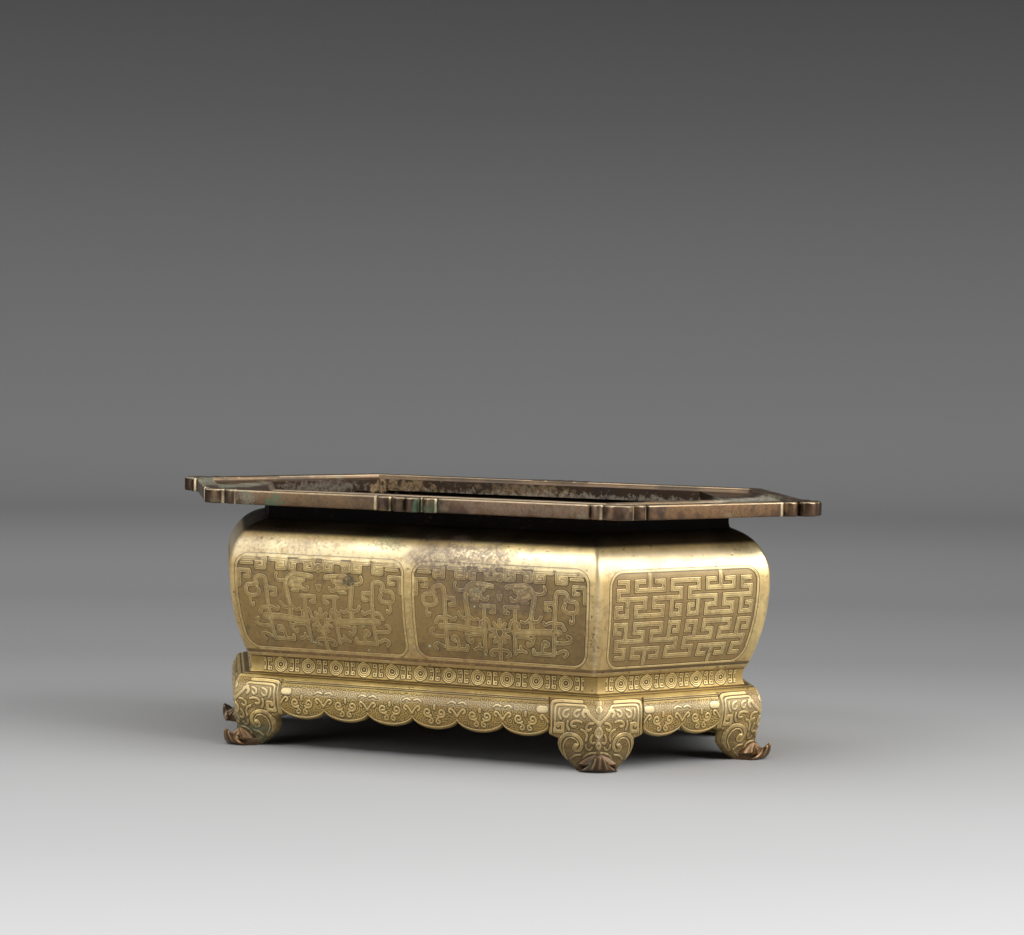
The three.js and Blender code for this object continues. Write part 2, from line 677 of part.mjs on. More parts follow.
// The toe is a ribbed fan that turns up in front of the ankle. It is what its side view,
// its plan and its front view have in common, each drawn with distances from the
// middle of the fold frame.
function toeSideView(heel, ankle, tip) {
  const underside = new THREE.QuadraticBezierCurve(
    new THREE.Vector2(ankle + TOE_SOLE_REACH, 0),
    new THREE.Vector2(tip, 0),
    new THREE.Vector2(tip, TOE_HEIGHT - TOE_LIP),
  );
  return [
    new THREE.Vector2(heel, 0),
    ...underside.getPoints(SMALL_ARC_STEPS),
    ...arc(new THREE.Vector2(tip - TOE_LIP, TOE_HEIGHT - TOE_LIP), TOE_LIP,
      0, Math.PI / 2, SMALL_ARC_STEPS).slice(1),
    new THREE.Vector2(heel, TOE_HEIGHT),
  ];
}

function toePlan(heel, tip) {
  const steps = TOE_RIBS * TOE_STEPS_PER_RIB;
  const points = [new THREE.Vector2(heel, -TOE_HALF_WIDTH)];
  for (let i = 0; i <= steps; i += 1) {
    const share = 2 * i / steps - 1;
    const groove = TOE_RIB_DEPTH * (1 - Math.abs(Math.sin(Math.PI * TOE_RIBS * i / steps)));
    points.push(new THREE.Vector2(tip - TOE_BOW * share ** 2 - groove, TOE_HALF_WIDTH * share));
  }
  points.push(new THREE.Vector2(heel, TOE_HALF_WIDTH));
  return points;
}

function toeFrontView() {
  return [
    new THREE.Vector2(-TOE_HALF_WIDTH, -TOE_END_HEIGHT),
    new THREE.Vector2(TOE_HALF_WIDTH, -TOE_END_HEIGHT),
    new THREE.Vector2(TOE_HALF_WIDTH, TOE_END_HEIGHT),
    new THREE.Vector2(0, TOE_HEIGHT + TOE_CREST),
    new THREE.Vector2(-TOE_HALF_WIDTH, TOE_END_HEIGHT),
  ];
}

function makeToe() {
  const ankle = ANKLE_HALF_DEPTH / Math.cos(HALF_TURN);
  const tip = ankle + TOE_REACH;
  const heel = ankle - FOOT_WALL;
  const sideView = prism(toeSideView(heel, ankle, tip), 3 * TOE_HALF_WIDTH);
  const sideSolid = toSolid(remap(sideView, (point) => {
    point.set(point.x, 1.5 * TOE_HALF_WIDTH - point.z, point.y);
  }));
  const planSolid = toSolid(prism(toePlan(heel, tip), 2 * TOE_HEIGHT)
    .translate(0, 0, -TOE_HEIGHT / 2));
  const frontSolid = toSolid(remap(prism(toeFrontView(), tip - heel), (point) => {
    point.set(heel + point.z, point.x, point.y);
  }));
  return sideSolid.intersect(planSolid).intersect(frontSolid);
}

function makeFoot() {
  return toGeometry(makeWing(-1).add(makeWing(1)).add(makeToe()));
}

// Assembly

function named(geometry, name, material) {
  const mesh = new THREE.Mesh(geometry, material);
  mesh.name = name;
  return mesh;
}

const jardiniere = new THREE.Group();

SIDE_NAMES.forEach((name, side) => {
  jardiniere.add(named(makeRim(side), `rim_${name}`, finishes.rim));
  jardiniere.add(named(makeNeck(side), `neck_wall_${name}`, finishes.neck));
  jardiniere.add(named(makeBody(side), `body_wall_${name}`, finishes.body));
  jardiniere.add(named(makeBase(side), `base_moulding_${name}`, finishes.base));
});

// Each apron and foot stands in its own side's or corner's frame, at the end of the
// middle line of the base.
SIDE_NAMES.forEach((name, side) => {
  const apron = named(makeApron(side), `apron_${name}`, finishes.apron);
  const end = isLongSide(side) ? 0 : (side < 3 ? 1 : -1);
  apron.position.set(end * BASE_SPINE_HALF, 0, 0);
  apron.rotation.z = side * SIDE_TURN;
  jardiniere.add(apron);
});

CORNER_NAMES.forEach((name, corner) => {
  const foot = named(makeFoot(), `foot_${name}`, finishes.foot);
  const end = corner >= 1 && corner <= 3 ? 1 : -1;
  foot.position.set(end * BASE_SPINE_HALF, 0, 0);
  foot.rotation.z = (corner - 2) * SIDE_TURN;
  jardiniere.add(foot);
});

jardiniere.add(named(makeFloor(), 'floor_plate', finishes.floor));

export default jardiniere;
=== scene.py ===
import bpy
import numpy as np
from mathutils import Matrix, Vector


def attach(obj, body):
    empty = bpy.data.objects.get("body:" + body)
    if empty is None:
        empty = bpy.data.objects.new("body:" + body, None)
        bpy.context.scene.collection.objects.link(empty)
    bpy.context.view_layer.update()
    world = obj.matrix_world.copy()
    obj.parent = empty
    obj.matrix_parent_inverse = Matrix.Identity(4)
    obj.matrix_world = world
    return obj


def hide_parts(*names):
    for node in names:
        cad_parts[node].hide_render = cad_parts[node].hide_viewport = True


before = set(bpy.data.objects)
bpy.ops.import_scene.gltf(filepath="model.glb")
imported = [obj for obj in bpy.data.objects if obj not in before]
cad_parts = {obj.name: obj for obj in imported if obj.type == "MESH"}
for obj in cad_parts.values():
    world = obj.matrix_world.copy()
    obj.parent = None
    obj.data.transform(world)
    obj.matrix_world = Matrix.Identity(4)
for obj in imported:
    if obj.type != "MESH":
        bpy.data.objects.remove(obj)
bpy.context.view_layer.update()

# Studio
# A seamless paper sweep runs out under the bowl and up into a wall all round it. The
# paper's tone is painted light: light in front of the bowl and darker behind and up the
# wall, as the lamps fall off. Soft lamps hang overhead, high in front and high at the right and
# left, with a weak low one to each side and an even sky.
# Sizes in this section are metres.

scene = bpy.context.scene
scene.view_settings.view_transform = "Standard"

view_azimuth = np.radians(24.7)
view_rise = np.radians(2.824)
view_roll = np.radians(0.846)
view_distance = 2.2754
view_target_right = 0.01477
view_target_height = 0.1872

ahead = np.array([
    -np.sin(view_azimuth) * np.cos(view_rise),
    np.cos(view_azimuth) * np.cos(view_rise),
    -np.sin(view_rise),
])
level_right = np.array([np.cos(view_azimuth), np.sin(view_azimuth), 0.0])
level_up = np.cross(level_right, ahead)
rolled_right = level_right * np.cos(view_roll) + level_up * np.sin(view_roll)
rolled_up = level_up * np.cos(view_roll) - level_right * np.sin(view_roll)
target = level_right * view_target_right + np.array([0.0, 0.0, view_target_height])
eye = target - ahead * view_distance

camera_data = bpy.data.cameras.new("camera")
camera_data.sensor_width = 36.0
camera_data.lens = 116.29
camera = bpy.data.objects.new("camera", camera_data)
scene.collection.objects.link(camera)
axes = np.column_stack([rolled_right, rolled_up, -ahead])
camera.matrix_world = Matrix.Translation(Vector(eye)) @ Matrix(axes.tolist()).to_4x4()
scene.camera = camera


def add_node(tree, kind, inputs=None, **settings):
    """A shader node with its settings made and its inputs either joined or set."""
    made = tree.nodes.new(kind)
    for name, value in settings.items():
        setattr(made, name, value)
    for key, value in (inputs or {}).items():
        if isinstance(value, bpy.types.NodeSocket):
            tree.links.new(value, made.inputs[key])
        elif made.inputs[key].type == "RGBA":
            made.inputs[key].default_value = (*value, 1.0)
        else:
            made.inputs[key].default_value = value
    return made


def reckon(tree, operation, first, second=0.0, third=0.0):
    """One sum on values, such as first plus second."""
    inputs = {0: first, 1: second, 2: third}
    return add_node(tree, "ShaderNodeMath", inputs, operation=operation).outputs[0]


def times(tree, first, second):
    """The first value times the second."""
    return reckon(tree, "MULTIPLY", first, second)


def plus_share(tree, base, value, share):
    """The base plus a share of the value."""
    return reckon(tree, "MULTIPLY_ADD", value, share, base)


def vector_sum(tree, operation, *vectors):
    """One sum on vectors. A dot product and a length come out as values."""
    made = add_node(tree, "ShaderNodeVectorMath", dict(enumerate(vectors)), operation=operation)
    return made.outputs["Value" if operation in ("DOT_PRODUCT", "LENGTH") else "Vector"]


def noise(tree, place, scale, detail=2.0, roughness=0.5, output="Fac"):
    """Cloudy noise. The greater the scale, the finer its grain."""
    made = add_node(tree, "ShaderNodeTexNoise", {
        "Vector": place, "Scale": scale, "Detail": detail, "Roughness": roughness})
    return made.outputs[output]


def fade(tree, value, start, end, low=0.0, high=1.0):
    """Goes smoothly from low to high while the value goes from start to end."""
    inputs = {"Value": value, "From Min": start, "From Max": end, "To Min": low, "To Max": high}
    made = add_node(tree, "ShaderNodeMapRange", inputs, interpolation_type="SMOOTHSTEP")
    return made.outputs["Result"]


def mix_tones(tree, share, first, second, blend="MIX"):
    """The first colour with a share of the second laid over it."""
    inputs = {0: share, 6: first, 7: second}
    made = add_node(tree, "ShaderNodeMix", inputs, data_type="RGBA", blend_type=blend)
    return made.outputs[2]


def tone_ramp(tree, value, start, end, stops):
    """Greys that follow a value from start to end, given as (share, grey) stops."""
    share = add_node(tree, "ShaderNodeMapRange", {
        "Value": value, "From Min": start, "From Max": end}).outputs["Result"]
    ramp = add_node(tree, "ShaderNodeValToRGB", {"Fac": share})
    points = ramp.color_ramp.elements
    while len(points) < len(stops):
        points.new(0.5)
    for point, (place, grey) in zip(points, stops):
        point.position = place
        point.color = (grey, grey, grey, 1.0)
    return ramp.outputs["Color"]


def new_material(name):
    """An empty material and its tree of nodes."""
    material = bpy.data.materials.new(name)
    material.use_nodes = True
    material.node_tree.nodes.clear()
    return material, material.node_tree


def finish_material(tree, inputs):
    """Joins a surface with these inputs to the material's output."""
    shader = add_node(tree, "ShaderNodeBsdfPrincipled", inputs)
    add_node(tree, "ShaderNodeOutputMaterial", {"Surface": shader.outputs["BSDF"]})


sweep_start = 0.02
sweep_floor = 2.6
sweep_bend = 1.4
sweep_wall = 1.6


def sweep_mesh(turns=96, floor_steps=23, bend_steps=24, wall_steps=6):
    """A profile carried round a circle: out along the floor, a quarter bend, up a wall."""
    angle = np.linspace(0.0, np.pi / 2, bend_steps)
    radius = np.concatenate([
        np.linspace(sweep_start, sweep_floor, floor_steps + 1)[:-1],
        sweep_floor + sweep_bend * np.sin(angle),
        np.full(wall_steps, sweep_floor + sweep_bend),
    ])
    height = np.concatenate([
        np.zeros(floor_steps),
        sweep_bend * (1.0 - np.cos(angle)),
        sweep_bend + np.linspace(0.0, sweep_wall, wall_steps + 1)[1:],
    ])
    around = np.linspace(0.0, 2 * np.pi, turns, endpoint=False)
    points = np.stack([
        radius[:, None] * np.cos(around),
        radius[:, None] * np.sin(around),
        np.repeat(height[:, None], turns, axis=1),
    ], axis=-1).reshape(-1, 3)
    row, column = np.meshgrid(np.arange(len(radius) - 1), np.arange(turns), indexing="ij")
    beside = (column + 1) % turns
    faces = np.stack([
        row * turns + column,
        (row + 1) * turns + column,
        (row + 1) * turns + beside,
        row * turns + beside,
    ], axis=-1).reshape(-1, 4)
    mesh = bpy.data.meshes.new("paper_sweep")
    mesh.from_pydata(points.tolist(), [], faces.tolist() + [list(range(turns))])
    mesh.polygons.foreach_set("use_smooth", np.ones(len(mesh.polygons), bool))
    return mesh


paper, tree = new_material("studio_paper")
place = add_node(tree, "ShaderNodeTexCoord").outputs["Object"]
towards_eye = vector_sum(tree, "DOT_PRODUCT", place, (-ahead[0], -ahead[1], 0.0))
# Painted light: lighter in front of the bowl and darker behind, then darker up the wall.
painted_floor_light = tone_ramp(tree, towards_eye, -3.0, 1.0, [
    (0.0, 0.61), (0.3, 0.43), (0.48, 0.26), (0.62, 0.228), (0.71, 0.275), (0.78, 0.345),
    (0.87, 0.44), (0.93, 0.54), (1.0, 0.65)])
height = add_node(tree, "ShaderNodeSeparateXYZ", {0: place}).outputs["Z"]
painted_wall_falloff = tone_ramp(tree, height, 0.0, 1.0, [
    (0.0, 1.03), (0.2, 0.88), (0.42, 0.72), (0.65, 0.525), (1.0, 0.32)])
painted_paper_light = mix_tones(tree, 1.0, painted_floor_light, painted_wall_falloff, "MULTIPLY")
bump = add_node(tree, "ShaderNodeBump", {
    "Height": noise(tree, place, 900.0, 3.0), "Strength": 0.05, "Distance": 0.0004})
finish_material(tree, {
    "Base Color": painted_paper_light, "Roughness": 0.9, "Specular IOR Level": 0.1,
    "Normal": bump.outputs["Normal"]})

sweep = bpy.data.objects.new("paper_sweep", sweep_mesh())
sweep.data.materials.append(paper)
scene.collection.objects.link(sweep)

world = bpy.data.worlds.new("even_sky")
world.use_nodes = True
world.node_tree.nodes["Background"].inputs["Color"].default_value = (1.0, 1.0, 1.0, 1.0)
world.node_tree.nodes["Background"].inputs["Strength"].default_value = 0.16
scene.world = world


def add_lamp(name, width, depth, power, place, aim):
    """A flat soft lamp at a place, turned to face a point."""
    data = bpy.data.lights.new(name, "AREA")
    data.shape = "RECTANGLE"
    data.size = width
    data.size_y = depth
    data.energy = power
    lamp = bpy.data.objects.new(name, data)
    turn = (Vector(aim) - Vector(place)).to_track_quat("-Z", "Y").to_matrix().to_4x4()
    lamp.matrix_world = Matrix.Translation(Vector(place)) @ turn
    scene.collection.objects.link(lamp)


add_lamp("overhead_lamp", 1.8, 1.0, 14.0, (0.0, 0.1, 1.6), (0.0, 0.0, 0.1))
add_lamp("front_lamp", 1.1, 0.6, 12.5, (-0.5, -1.2, 1.55), (0.0, 0.0, 0.14))
add_lamp("right_lamp", 1.6, 1.2, 32.0, (1.55, 0.0, 1.2), (0.0, 0.0, 0.14))
add_lamp("left_fill", 1.4, 1.0, 10.0, (-0.95, -1.85, 0.55), (0.0, 0.0, 0.1))
add_lamp("right_fill", 1.2, 0.7, 5.0, (1.7, 0.2, 0.45), (0.0, 0.0, 0.1))
add_lamp("left_lamp", 1.0, 1.0, 6.0, (-1.5, 0.1, 1.3), (-0.3, -0.1, 0.0))

# Feet
# Six cast bronze scroll feet, one under each corner, brazed to the base. Each folds
# round its corner as two wings, with a square knee panel, a scroll that winds in at the
# ankle and a ribbed toe turned up in front.

MILLIMETRE = 0.001
MITRE_TURN = np.pi / 6  # between square to a side and the mitre at its end
foot_height = 46.0
base_spine = 58.0 / np.cos(MITRE_TURN)
ledge_half_depth = 113.8
knee_half_depth = 116.9
ankle_half_depth = 113.2
knee_height = 35.5
ankle_height = 13.0
knee_width = 35.4
ridge_round = 1.6
foot_wall = 6.0
corner_names = ["front_left", "front_right", "right", "back_right", "back_left", "left"]
side_names = ["front", "right_front", "right_back", "back", "left_back", "left_front"]


def smooth_step(value, start, end):
    """0 up to start, 1 past end, and 3s^2 - 2s^3 of the share s between them. With the
    greater number first it falls as the value grows."""
    share = np.clip((value - start) / (end - start), 0.0, 1.0)
    return share * share * (3.0 - 2.0 * share)


def knee_line(height):
    """Half depth of knee and apron: it swells by a square from the ledge down to the
    knee, and draws in by the power 1.6 of the drop from the knee to the ankle."""
    above = np.clip((height - knee_height) / (foot_height - knee_height), 0.0, 1.0)
    below = np.clip((knee_height - height) / (knee_height - ankle_height), 0.0, 1.0)
    return (knee_half_depth
            - (knee_half_depth - ledge_half_depth) * above ** 2
            - (knee_half_depth - ankle_half_depth) * below ** 1.6)


def curl(centre_u, centre_z, radius, eye_radius, start, turns, steps=40):
    """A spiral that starts at an angle, in turns, and winds in evenly to its eye."""
    share = np.linspace(0.0, 1.0, steps)
    angle = 2 * np.pi * (start + turns * share)
    reach = radius + (eye_radius - radius) * share
    return np.stack([centre_u + reach * np.cos(angle), centre_z + reach * np.sin(angle)], -1)


def eased(stroke, rounds=2):
    """A broken line with its corners cut off at a quarter of each piece, in rounds."""
    points = np.asarray(stroke, float)
    for _ in range(rounds):
        near = 0.75 * points[:-1] + 0.25 * points[1:]
        far = 0.25 * points[:-1] + 0.75 * points[1:]
        inner = np.stack([near, far], axis=1).reshape(-1, 2)
        points = np.concatenate([points[:1], inner, points[-1:]])
    return points


def stroke_edge(u, z, strokes, square=False):
    """How far each point lies outside the nearest stroke. A stroke is (half width,
    points); each straight piece is measured square to it and between its ends. Square
    strokes take the greater of the two gaps, which squares their corners."""
    nearest = np.full(np.broadcast(u, z).shape, 9.0)
    for half_width, points in strokes:
        points = np.asarray(points, float)
        for (from_u, from_z), (to_u, to_z) in zip(points[:-1], points[1:]):
            run_u, run_z = to_u - from_u, to_z - from_z
            length = max(run_u ** 2 + run_z ** 2, 1e-9)
            share = np.clip(((u - from_u) * run_u + (z - from_z) * run_z) / length, 0.0, 1.0)
            gap_u, gap_z = u - from_u - share * run_u, z - from_z - share * run_z
            gap = np.hypot(gap_u, gap_z)
            if square:
                gap = np.maximum(np.abs(gap_u), np.abs(gap_z))
            nearest = np.minimum(nearest, gap - half_width)
    return nearest


def loop_mesh(name, points, fields, closed=False):
    """A closed surface from a (ring, point, xyz) grid in millimetres, each ring a closed
    loop. The first and last rings are capped, unless the rings close on themselves.
    Fields are values carried on the grid as named attributes."""
    rings, around = points.shape[:2]
    last = rings if closed else rings - 1
    row, column = np.meshgrid(np.arange(last), np.arange(around), indexing="ij")
    after, beside = (row + 1) % rings, (column + 1) % around
    quads = np.stack([
        row * around + column,
        row * around + beside,
        after * around + beside,
        after * around + column,
    ], axis=-1).reshape(-1, 4)
    flat = points.reshape(-1, 3)
    a, b, c, d = (flat[quads[:, i]] for i in range(4))
    volume = np.einsum("ij,ij->i", a, np.cross(b, c)).sum()
    volume += np.einsum("ij,ij->i", a, np.cross(c, d)).sum()
    caps = []
    if not closed:
        caps = [np.arange(around)[::-1], np.arange(around) + (rings - 1) * around]
    if volume < 0:
        quads = quads[:, ::-1]
        caps = [cap[::-1] for cap in caps]
    corners = np.concatenate([quads.ravel(), *caps]).astype(np.int32)
    starts = [np.arange(len(quads)) * 4]
    for number in range(len(caps)):
        starts.append(np.array([len(quads) * 4 + number * around]))
    mesh = bpy.data.meshes.new(name)
    mesh.vertices.add(len(flat))
    mesh.vertices.foreach_set("co", (flat * MILLIMETRE).astype(np.float32).ravel())
    mesh.loops.add(len(corners))
    mesh.loops.foreach_set("vertex_index", corners)
    mesh.polygons.add(len(quads) + len(caps))
    mesh.polygons.foreach_set("loop_start", np.concatenate(starts).astype(np.int32))
    mesh.update(calc_edges=True)
    mesh.polygons.foreach_set("use_smooth", np.ones(len(mesh.polygons), bool))
    for field, values in fields.items():
        vector = values.ndim == 3
        attribute = mesh.attributes.new(field, "FLOAT_VECTOR" if vector else "FLOAT", "POINT")
        attribute.data.foreach_set("vector" if vector else "value",
                                   values.astype(np.float32).ravel())
    mesh.set_sharp_from_angle(angle=np.radians(62.0))
    mesh.validate()
    return mesh


def add_piece(name, mesh, material, slot, *nodes):
    """Puts a finished mesh in the scene in place of its CAD nodes."""
    mesh.materials.append(material)
    piece = bpy.data.objects.new(name, mesh)
    scene.collection.objects.link(piece)
    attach(piece, "root")
    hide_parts(*nodes)


def new_group(name, inputs, outputs):
    """A node group and what its inputs hold. Sockets are named in lists under their kind."""
    group = bpy.data.node_groups.new(name, "ShaderNodeTree")
    for way, kinds in (("INPUT", inputs), ("OUTPUT", outputs)):
        for kind, sockets in kinds.items():
            for socket in sockets:
                group.interface.new_socket(socket, in_out=way, socket_type="NodeSocket" + kind)
    return group, add_node(group, "NodeGroupInput").outputs


pit_tone = (0.06, 0.04, 0.025)
# Dark tone for grime and for painted shade.
grime_and_shade_tone = (0.035, 0.024, 0.016)
gold_tone = (0.92, 0.7, 0.31)
# Pale tone for rubbed metal and for painted highlights.
pale_wear_and_sheen_tone = (0.95, 0.83, 0.6)
cut_tone = (0.11, 0.073, 0.035)


def worn_bronze_group():
    """Bronze as it ages: clouds of tarnish, dark pits, green crust and fine scratches."""
    group, given = new_group("worn_bronze", {
        "Color": ["Metal", "Tarnish", "Crust"],
        "Float": ["Tarnish Amount", "Crust Amount", "Pit Amount", "Polish"],
    }, {"Color": ["Color"], "Float": ["Roughness", "Metallic", "Height"]})
    place = add_node(group, "ShaderNodeTexCoord").outputs["Object"]
    broad = noise(group, place, 11.0, 5.0, 0.55)
    cloud = noise(group, place, 48.0, 6.0, 0.62)
    grain = noise(group, place, 420.0, 4.0, 0.6)
    blotch = plus_share(group, times(group, cloud, 0.45), broad, 0.55)
    tarnish = times(group, fade(group, blotch, 0.44, 0.6), given["Tarnish Amount"])

    shaken = noise(group, place, 260.0, output="Color")
    shaken_place = vector_sum(group, "MULTIPLY_ADD", shaken, (0.006, 0.006, 0.003), place)
    pits = add_node(group, "ShaderNodeTexVoronoi", {"Vector": shaken_place, "Scale": 300.0})
    pit_spread = fade(group, noise(group, place, 70.0, 5.0, 0.7), 0.51, 0.6)
    pit = times(group, fade(group, pits.outputs["Distance"], 0.36, 0.18), pit_spread)
    pit = times(group, pit, given["Pit Amount"])
    patch = fade(group, noise(group, place, 19.0, 7.0, 0.66), 0.57, 0.66)
    flecks = fade(group, noise(group, place, 160.0, 5.0, 0.7), 0.44, 0.6)
    crust = times(group, times(group, patch, flecks), given["Crust Amount"])

    drawn = vector_sum(group, "MULTIPLY", place, (1.0, 1.0, 0.12))
    streak = noise(group, drawn, 140.0, 5.0, 0.65)
    dim = times(group, fade(group, cloud, 0.3, 0.7, 0.8, 1.1),
                fade(group, streak, 0.35, 0.65, 0.84, 1.1))
    grey = add_node(group, "ShaderNodeCombineXYZ", {0: dim, 1: dim, 2: dim}).outputs[0]
    color = mix_tones(group, 1.0, given["Metal"], grey, "MULTIPLY")
    color = mix_tones(group, tarnish, color, given["Tarnish"])
    color = mix_tones(group, crust, color, given["Crust"])
    color = mix_tones(group, times(group, pit, 0.7), color, pit_tone)
    rough = plus_share(group, given["Polish"], tarnish, 0.16)
    rough = plus_share(group, rough, crust, 0.35)
    rough = plus_share(group, rough, grain, 0.14)
    metallic = plus_share(group, 0.9, crust, -0.7)
    metallic = plus_share(group, metallic, tarnish, -0.2)
    lump = plus_share(group, times(group, cloud, 0.5), grain, 0.25)
    lump = plus_share(group, lump, pit, -0.6)
    lump = plus_share(group, lump, crust, 0.3)
    add_node(group, "NodeGroupOutput", {
        "Color": color, "Roughness": rough, "Metallic": metallic, "Height": lump})
    return group


def chased_field_group():
    """Raised bands on a sunk field, from the distance outside a band's edge. The bands
    keep the metal and carry a fine cut line, and the field is toned down and chased with
    small spirals, each wound about the nearest point of a scattered set."""
    group, given = new_group("chased_field", {
        "Color": ["Color", "Field Tone", "Cut Tone", "Lip Tone"],
        "Float": ["Edge", "Field", "Line Depth", "Field Amount", "Spiral Amount", "Spirals"],
        "Vector": ["Laid"],
    }, {"Color": ["Color"], "Float": ["Ground", "Height"]})

    def line_inside(depth, gone, full):
        """A line at a depth inside the edge: full near its middle, gone further off."""
        off_line = reckon(group, "ABSOLUTE", reckon(group, "ADD", given["Edge"], depth))
        return fade(group, off_line, gone, full)

    full_turn = 2 * np.pi
    scatter = add_node(group, "ShaderNodeTexVoronoi", {
        "Vector": given["Laid"], "Scale": given["Spirals"], "Randomness": 0.7},
        voronoi_dimensions="2D").outputs
    from_point = vector_sum(group, "SUBTRACT", given["Laid"], scatter["Position"])
    parts = add_node(group, "ShaderNodeSeparateXYZ", {0: from_point}).outputs
    turn = reckon(group, "DIVIDE", reckon(group, "ARCTAN2", parts["Y"], parts["X"]), full_turn)
    winding = plus_share(group, turn, scatter["Distance"], 3.1)
    wave = reckon(group, "SINE", times(group, winding, full_turn))
    ground = times(group, fade(group, given["Edge"], -0.1, 0.18), given["Field"])
    spiral = times(group, fade(group, wave, 0.1, 0.75), ground)
    cut = times(group, spiral, given["Spiral Amount"])
    line = times(group, line_inside(given["Line Depth"], 0.3, 0.12), 0.7)
    line = reckon(group, "MAXIMUM", line, line_inside(-0.3, 0.4, 0.15))
    stroke = reckon(group, "MAXIMUM", times(group, line, 0.85), cut)
    toned = mix_tones(group, times(group, ground, given["Field Amount"]),
                      given["Color"], given["Field Tone"])
    lip = times(group, line_inside(0.22, 0.3, 0.1), 0.6)
    toned = mix_tones(group, lip, toned, given["Lip Tone"])
    color = mix_tones(group, stroke, toned, given["Cut Tone"])
    sunk = plus_share(group, times(group, ground, -0.3), stroke, -0.8)
    add_node(group, "NodeGroupOutput", {"Color": color, "Ground": ground, "Height": sunk})
    return group


def stain_group():
    """A ragged patch about one place on the bowl: full within an ellipsoid's reach and
    gone outside it, with clouds of noise that break up its edge."""
    group, given = new_group("stain", {
        "Vector": ["Centre", "Reach"], "Float": ["Raggedness", "Grain"]}, {"Float": ["Mask"]})
    place = add_node(group, "ShaderNodeTexCoord").outputs["Object"]
    from_centre = vector_sum(group, "SUBTRACT", place, given["Centre"])
    distance = vector_sum(group, "LENGTH", vector_sum(group, "DIVIDE", from_centre, given["Reach"]))
    ragged = reckon(group, "SUBTRACT", noise(group, place, given["Grain"], 6.0, 0.65), 0.5)
    reached = plus_share(group, distance, ragged, given["Raggedness"])
    mottled = fade(group, noise(group, place, 480.0, 3.0, 0.7), 0.38, 0.58, 0.3, 1.0)
    add_node(group, "NodeGroupOutput", {
        "Mask": times(group, fade(group, reached, 1.1, 0.6), mottled)})
    return group


worn_bronze = worn_bronze_group()
chased_field = chased_field_group()
stain = stain_group()


def carried_value(tree, name, output="Fac"):
    """A value that the piece carries on its mesh under a name."""
    return add_node(tree, "ShaderNodeAttribute", attribute_name=name).outputs[output]


def chasing(field_tone, line_depth, field_amount, spiral_amount, spirals):
    """The chased field's values on one piece. On all, its cuts are dark and its lips gold."""
    return {"Field Tone": field_tone, "Cut Tone": cut_tone, "Lip Tone": gold_tone,
            "Line Depth": line_depth, "Field Amount": field_amount,
            "Spiral Amount": spiral_amount, "Spirals": spirals}


def bronze_material(name, metal, tarnish, crust, amounts, polish, wear_and_sheen_tone=None,
                    chased=None, stains=(), wax=0.3):
    """Worn bronze, bright where the piece carries wear and painted highlight, and dark where
    it carries grime and painted shade. Amounts are those of tarnish, crust and pits. Chased
    holds the values of the chased field, on a piece that has one. A stain is its centre,
    reach, raggedness, grain, colour and strength. Wax is a clear coat, thinner over grime
    and painted shade."""
    material, tree = new_material(name)
    worn = add_node(tree, "ShaderNodeGroup", {
        "Metal": metal, "Tarnish": tarnish, "Crust": crust, "Tarnish Amount": amounts[0],
        "Crust Amount": amounts[1], "Pit Amount": amounts[2], "Polish": polish},
        node_tree=worn_bronze).outputs
    color, rough, metallic = worn["Color"], worn["Roughness"], worn["Metallic"]
    lump = times(tree, worn["Height"], 0.4)
    if chased:
        worked = add_node(tree, "ShaderNodeGroup", {
            "Color": color,
            "Edge": carried_value(tree, "edge"),
            "Field": carried_value(tree, "field"),
            "Laid": carried_value(tree, "laid", "Vector"),
            **chased}, node_tree=chased_field).outputs
        color = worked["Color"]
        rough = plus_share(tree, rough, worked["Ground"], 0.12)
        lump = reckon(tree, "ADD", worked["Height"], lump)
    # The wear value is rubbed metal and, on some pieces, painted highlight.
    wear_and_sheen = times(tree, carried_value(tree, "wear_and_sheen"), 0.75)
    color = mix_tones(tree, wear_and_sheen, color, wear_and_sheen_tone or metal)
    rough = plus_share(tree, rough, wear_and_sheen, -0.12)
    # The grime value is dirt and, on some pieces, painted shade.
    grime_and_shade = times(tree, carried_value(tree, "grime_and_shade"), 0.85)
    color = mix_tones(tree, grime_and_shade, color, grime_and_shade_tone)
    for centre, reach, raggedness, grain, tone, strength in stains:
        patch = add_node(tree, "ShaderNodeGroup", {
            "Centre": centre, "Reach": reach, "Raggedness": raggedness, "Grain": grain},
            node_tree=stain)
        mask = times(tree, patch.outputs["Mask"], strength)
        color = mix_tones(tree, mask, color, tone)
        rough = plus_share(tree, rough, mask, 0.2)
        metallic = plus_share(tree, metallic, mask, -0.45)
    bump = add_node(tree, "ShaderNodeBump", {"Height": lump, "Strength": 0.6, "Distance": 0.0004})
    finish_material(tree, {
        "Base Color": color, "Roughness": rough, "Metallic": metallic,
        "Coat Weight": plus_share(tree, wax, grime_and_shade, -wax), "Coat Roughness": 0.3,
        "Normal": bump.outputs["Normal"]})
    return material


foot_stains = [
    ((0.0, 0.0, 0.01), (0.3, 0.2, 0.022), 3.6, 180.0, (0.16, 0.1, 0.045), 0.5),
    ((-0.132, -0.112, 0.004), (0.03, 0.03, 0.015), 3.4, 210.0, (0.07, 0.11, 0.07), 0.7),
    ((0.13, -0.112, 0.004), (0.03, 0.03, 0.013), 3.4, 210.0, (0.13, 0.1, 0.05), 0.45)]
foot_bronze = bronze_material(
    "foot_bronze", metal=(0.74, 0.53, 0.18), tarnish=(0.4, 0.25, 0.08), crust=(0.16, 0.26, 0.17),
    amounts=(0.8, 0.5, 0.8), polish=0.38, wear_and_sheen_tone=(0.93, 0.76, 0.46),
    chased=chasing((0.42, 0.28, 0.1), line_depth=3.0, field_amount=0.4,
                   spiral_amount=0.8, spirals=250.0),
    stains=foot_stains)

